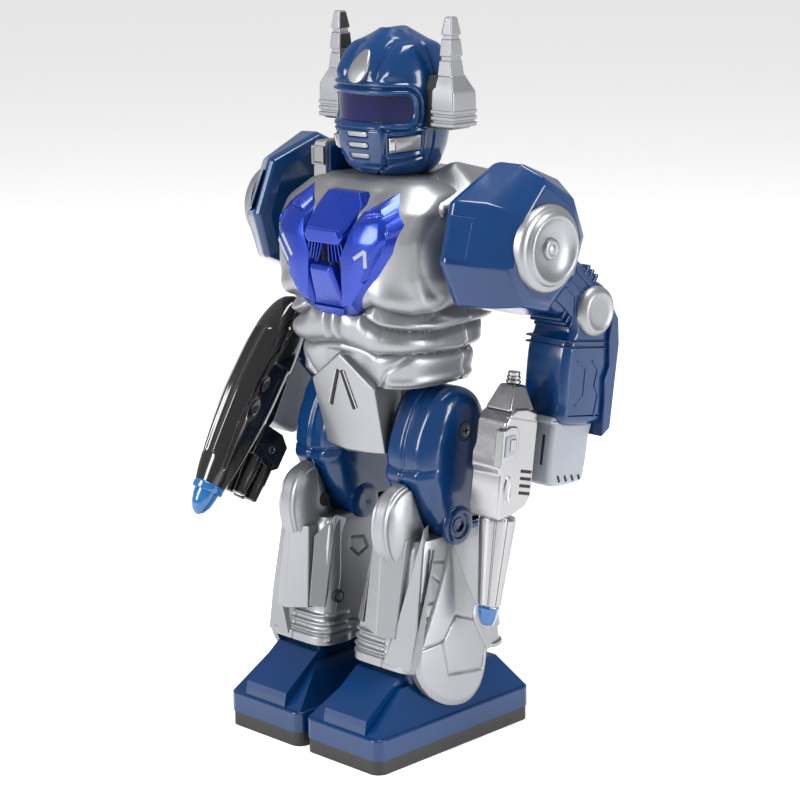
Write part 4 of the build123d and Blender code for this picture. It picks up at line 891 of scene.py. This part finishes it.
def shin_relief(x, y, z):
    ahead = 1 - ease(y, -14, -9)
    off = -0.6 * hump(x - 29, 0.45) * (z < 93) * ahead
    for rib in (53.2, 49.6, 46.0):
        off += 1.3 * hump(z - rib, 0.95) * (1 - ease(x, 29, 31)) * ahead
    off += 1.0 * (1 - ease(z, 43.2, 44.4)) * ahead
    flank = ease(np.abs(x - 28), 11, 13.5) * ease(y, -25, -22)
    for path in ([(-11, 88), (-2, 86)], [(-11, 82), (-6, 77.5), (-1, 79)], [(-17, 70), (-9, 69)],
        [(-17, 65), (-13, 61), (-8, 62.5)], [(-21, 55), (-16, 55)]):
        off -= 0.9 * groove(y, z, path, 0.55) * flank * (x > 28)
    off -= 0.9 * groove(y, z, [(-24, 52.5), (-6, 48), (4, 46), (9, 40)], 0.6) * flank * (x < 28)
    off -= (0.9 * groove(y, z, [(-4, 86.4), (3, 85.4), (5, 80), (-1.4, 77.6), (-5.4, 82), (-4, 86.4)],
            0.5) * flank * (x < 28))
    off += 1.2 * inside(y, z, [(-16, 97), (-9, 97), (-13, 70), (-22, 41), (-27, 41)], 1.2) * flank * (x < 28)
    off += 1.2 * ((z // 7) % 2) * ease(y, 24, 26)
    return off


for side in ("left", "right"):
    flip = mirror(side)
    thigh, shin = f"{side}_thigh", f"{side}_shin"
    knee, hip = joint_place(f"{side}_knee_bend"), joint_place(f"{side}_hip_swing")
    rings = []
    turns = [(thigh_inner_x + depth, inset) for depth, inset in rounded_over(thigh_round, 14, start=0.12)]
    turns += [(x, 0) for x in np.linspace(23.4, 35.2, 14)]
    turns += [(thigh_outer_x - inset, depth) for depth, inset in rounded_over(thigh_round, 14, stop=pi / 2 - 0.12)]
    for x, inset in turns:
        seam = 0.7 if abs(x - thigh_seam_x) < 0.5 else 0
        ring = offset_in(thigh_outline, inset + thigh_shape(thigh_outline, x) + seam)
        rings.append([(x, y, z) for y, z in ring])
    loft(f"{side}_thigh_skin", rings, blue, thigh, at=flip, crisp=45,
        hides=(f"{side}_thigh_outer_shell", f"{side}_thigh_inner_shell"))
    lathe(f"{side}_knee_boss", [(38, 9.0), (43.6, 9.0), (45.0, 8.6), (45.6, 7.8), (45.6, 6.0), (44.6, 5.4),
            (44.6, 3.9), (45.1, 3.6), (45.1, 3.0), (43.6, 2.8), (43.6, 0.05)], (0, *knee), blue, thigh, at=flip,
        count=72, crisp=50)
    # Near-black disc in the knee boss: painted shade inside the hole.
    lathe(f"{side}_knee_hole", [(42, 2.9), (43.9, 2.9), (43.9, 0.05)], (0, *knee), painted_shade, thigh, at=flip, count=32)
    lathe(f"{side}_knee_boss_inner", [(14.0, 0.05), (13.4, 3.0), (13.4, 6.4), (14.2, 8.4), (20, 8.6)], (0, *knee),
        blue, thigh, at=flip, count=72, crisp=50)
    for k, z in enumerate((98.6, 101.8, 105.0)):
        prism(f"{side}_knee_ledge_{k}", [(10, z - 1.2), (29.6, z - 1.0), (29.6, z + 1.2), (10, z + 1.2)],
            15.5 + 0.9 * k, 43.6 - 0.9 * k, blue, thigh, at=flip, bevel=0.6, segments=3)
    screw(f"{side}_hip_screw", (thigh_outer_x, *hip), 3.4, thigh, at=flip)

    skinned = skin(f"{side}_shin_skin", shin_stations, silver, shin, 200, 420, power=6.5, relief=shin_relief, at=flip,
        crisp=45)
    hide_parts(f"{side}_shin_outer_shell", f"{side}_shin_inner_shell")
    wedge = [(20.6, -23.6, 94), (29, -26.8, 94), (38.4, -20.4, 99), (18.2, -27.4, 57), (29.2, -31.2, 55.4),
        (37.6, -28.4, 55.2), (19, -14, 94), (38, -12, 99), (17.6, -18, 56), (38, -18, 54)]
    make(f"{side}_shin_wedge", wedge, [(0, 3, 4, 1), (1, 4, 5, 2), (0, 1, 2, 7, 6), (3, 8, 9, 5, 4), (0, 6, 8, 3),
            (2, 5, 9, 7), (6, 7, 9, 8)], silver, shin, at=flip, bevel=0.5, segments=3)
    facet = [(44.2, -15.4, 104), (37.0, -26.8, 58), (30.6, -28.6, 42.4), (45.6, -26.8, 41), (46.4, -23, 60),
        (40, -8, 104), (40, -8, 41), (30, -16, 42)]
    make(f"{side}_shin_facet", facet, [(0, 1, 2, 3, 4), (0, 5, 7, 2, 1), (0, 4, 3, 6, 5), (3, 2, 7, 6), (5, 6, 7)],
        silver, shin, at=flip, bevel=0.4, segments=2)
    sliver = [(46.6, -11, 94), (45.4, -26.6, 42), (48.0, -22.6, 42), (44.6, -22, 42), (44, -10, 94)]
    make(f"{side}_shin_sliver", sliver, [(0, 1, 2), (0, 4, 3, 1), (1, 3, 2), (0, 2, 3, 4)], silver, shin, at=flip,
        bevel=0.3)
    inner_facet = [(13.4, -13, 99), (18.6, -22, 90), (17.2, -27.6, 58), (10.6, -24, 58), (14, -6, 96), (18, -12, 58)]
    make(f"{side}_shin_inner_facet", inner_facet, [(0, 3, 2, 1), (0, 1, 5, 4), (1, 2, 5), (2, 3, 5), (0, 4, 3),
            (3, 4, 5)], silver, shin, at=flip, bevel=0.4)
    rings = []
    centre = leaf.mean(axis=0)
    for s in dome_steps:
        rings.append([(leaf_x - 3.6 - 4.6 * sqrt(1 - s * s), *(centre + (p - centre) * s)) for p in leaf])
    for x, inset in ((25.4, 1.6), (25.7, 0.9), (26.9, 0.75), (27.1, 0.3), (27.4, 0), (32.0, 0), (32.3, 0.3),
        (32.5, 0.75), (33.7, 0.9), (34.0, 1.6)):
        rings.append([(x, *p) for p in offset_in(leaf, inset)])
    for s in reversed(dome_steps):
        rings.append([(leaf_x + 3.6 + 4.6 * sqrt(1 - s * s), *(centre + (p - centre) * s)) for p in leaf])
    loft(f"{side}_kneecap", rings, silver, shin, at=flip, crisp=38)
    shield(f"{side}_fender", fender, lambda u, v: (float(np.interp(v, [19, 40, 96], [48.2, 46.9, 43.2])), u, v), 1.6,
        silver, shin, out=(1, 0, 0), at=flip, depth=3.2, rim=1.6, dome=1.7, fill=44, split=4, crisp=45,
        relief=lambda u, v: -0.75 * groove(u, v, [(0, 62), (-9, 52), (-6, 36), (16, 33), (19, 43), (12, 57), (0, 62)],
            0.5) - 0.75 * groove(u, v, [(-24, 50.5), (-13, 51.5), (-9, 52)], 0.5)
        - 0.6 * groove(u, v, [(12, 57), (15, 66)], 0.5))
    # Near-black discs in the screw holes: painted shade inside the holes, with the steel screw heads set in them.
    for k, (x, y, z) in enumerate(((9.4, -16.9, 62), (10.4, 12, 62))):
        lathe(f"{side}_shin_hole_{k}", [(x - 1.2, 0.05), (x - 1.2, 3.0), (x + 4, 3.0)], (0, y, z), painted_shade, shin,
            at=flip, count=32)
        lathe(f"{side}_shin_hole_screw_{k}", [(x - 1.3, 0.05), (x - 1.35, 1.2), (x - 1.25, 1.9)], (0, y, z), steel,
            shin, at=flip, count=32)
    # Near-black disc in the kneecap's hole: painted shade inside it.
    lathe(f"{side}_kneecap_hole", [(21.4, 0.05), (21.4, 2.9), (24, 2.9)], (0, -12, 104), painted_shade, shin, at=flip,
        count=32)

# ---- CAD nodes that stay, with their own finishes

finish = {"silver_plastic": silver, "blue_plastic": blue, "metallic_blue": cobalt, "black_gloss": black,
    "black_matte": sole_black, "grey_plastic": grey, "chrome_plastic": chrome, "clear_blue": azure,
    "visor_blue": visor_blue, "steel": steel, "battery_wrap": wrap, "board_green": board, "nylon": nylon}
for node in frame["nodes"].values():
    for index, current in enumerate(node.data.materials):
        node.material_slots[index].material = finish[current.name.split(".")[0]]

# ---- studio

floor_mesh = bpy.data.meshes.new("floor")
reach = 30  # metres
floor_mesh.from_pydata([(-reach, -reach, 0), (reach, -reach, 0), (reach, reach, 0), (-reach, reach, 0)], [],
    [(0, 1, 2, 3)])
floor = bpy.data.objects.new("floor", floor_mesh)
bpy.context.scene.collection.objects.link(floor)
floor_mesh.materials.append(principled("pale_floor", (0.9, 0.9, 0.9), 0.55, grain=60, bump=0.0, tint=0.01))
pale = floor_mesh.materials[0].node_tree.nodes["Principled BSDF"]
pale.inputs["Emission Color"].default_value = (1, 1, 1, 1)
pale.inputs["Emission Strength"].default_value = 0.42

world = bpy.data.worlds.new("studio")
bpy.context.scene.world = world
world.use_nodes = True
world.node_tree.nodes["Background"].inputs["Color"].default_value = (1, 1, 1, 1)
world.node_tree.nodes["Background"].inputs["Strength"].default_value = 0.40


def softbox(name, spot, aim, width, height, power):
    """Area light at spot, turned to aim."""
    light = bpy.data.lights.new(name, "AREA")
    light.shape = "RECTANGLE"
    light.size, light.size_y, light.energy = width, height, power
    lamp = bpy.data.objects.new(name, light)
    lamp.location = spot
    lamp.rotation_euler = (Vector(aim) - Vector(spot)).to_track_quat("-Z", "Y").to_euler()
    bpy.context.scene.collection.objects.link(lamp)


# metres and watts
softbox("key", (-0.55, -1.35, 0.75), (0, 0, 0.17), 0.5, 0.9, 22)
softbox("side", (1.45, 0.35, 0.55), (0, 0, 0.17), 0.4, 0.9, 16)
softbox("top", (0.1, 0.1, 1.4), (0, 0, 0.15), 0.6, 0.6, 18)
bpy.context.scene.view_settings.view_transform = "Standard"

# the photograph's viewing angle: back points from the robot to the camera
back = Vector((0.685, -0.691, 0.231)).normalized()
right = Vector((0.710, 0.704, 0.0)).normalized()
up = back.cross(right)
roll = radians(-0.74)
aim = Vector((19.5, -4.1, 155.7)) * MM
distance = 1.033
across = right * cos(roll) + up * sin(roll)
above = back.cross(across)
turn = Matrix((across, above, back)).transposed()
lens = bpy.data.cameras.new("photo_view")
lens.lens = 105.6
camera = bpy.data.objects.new("photo_view", lens)
camera.matrix_world = Matrix.Translation(aim + back * distance) @ turn.to_4x4()
bpy.context.scene.collection.objects.link(camera)
bpy.context.scene.camera = camera
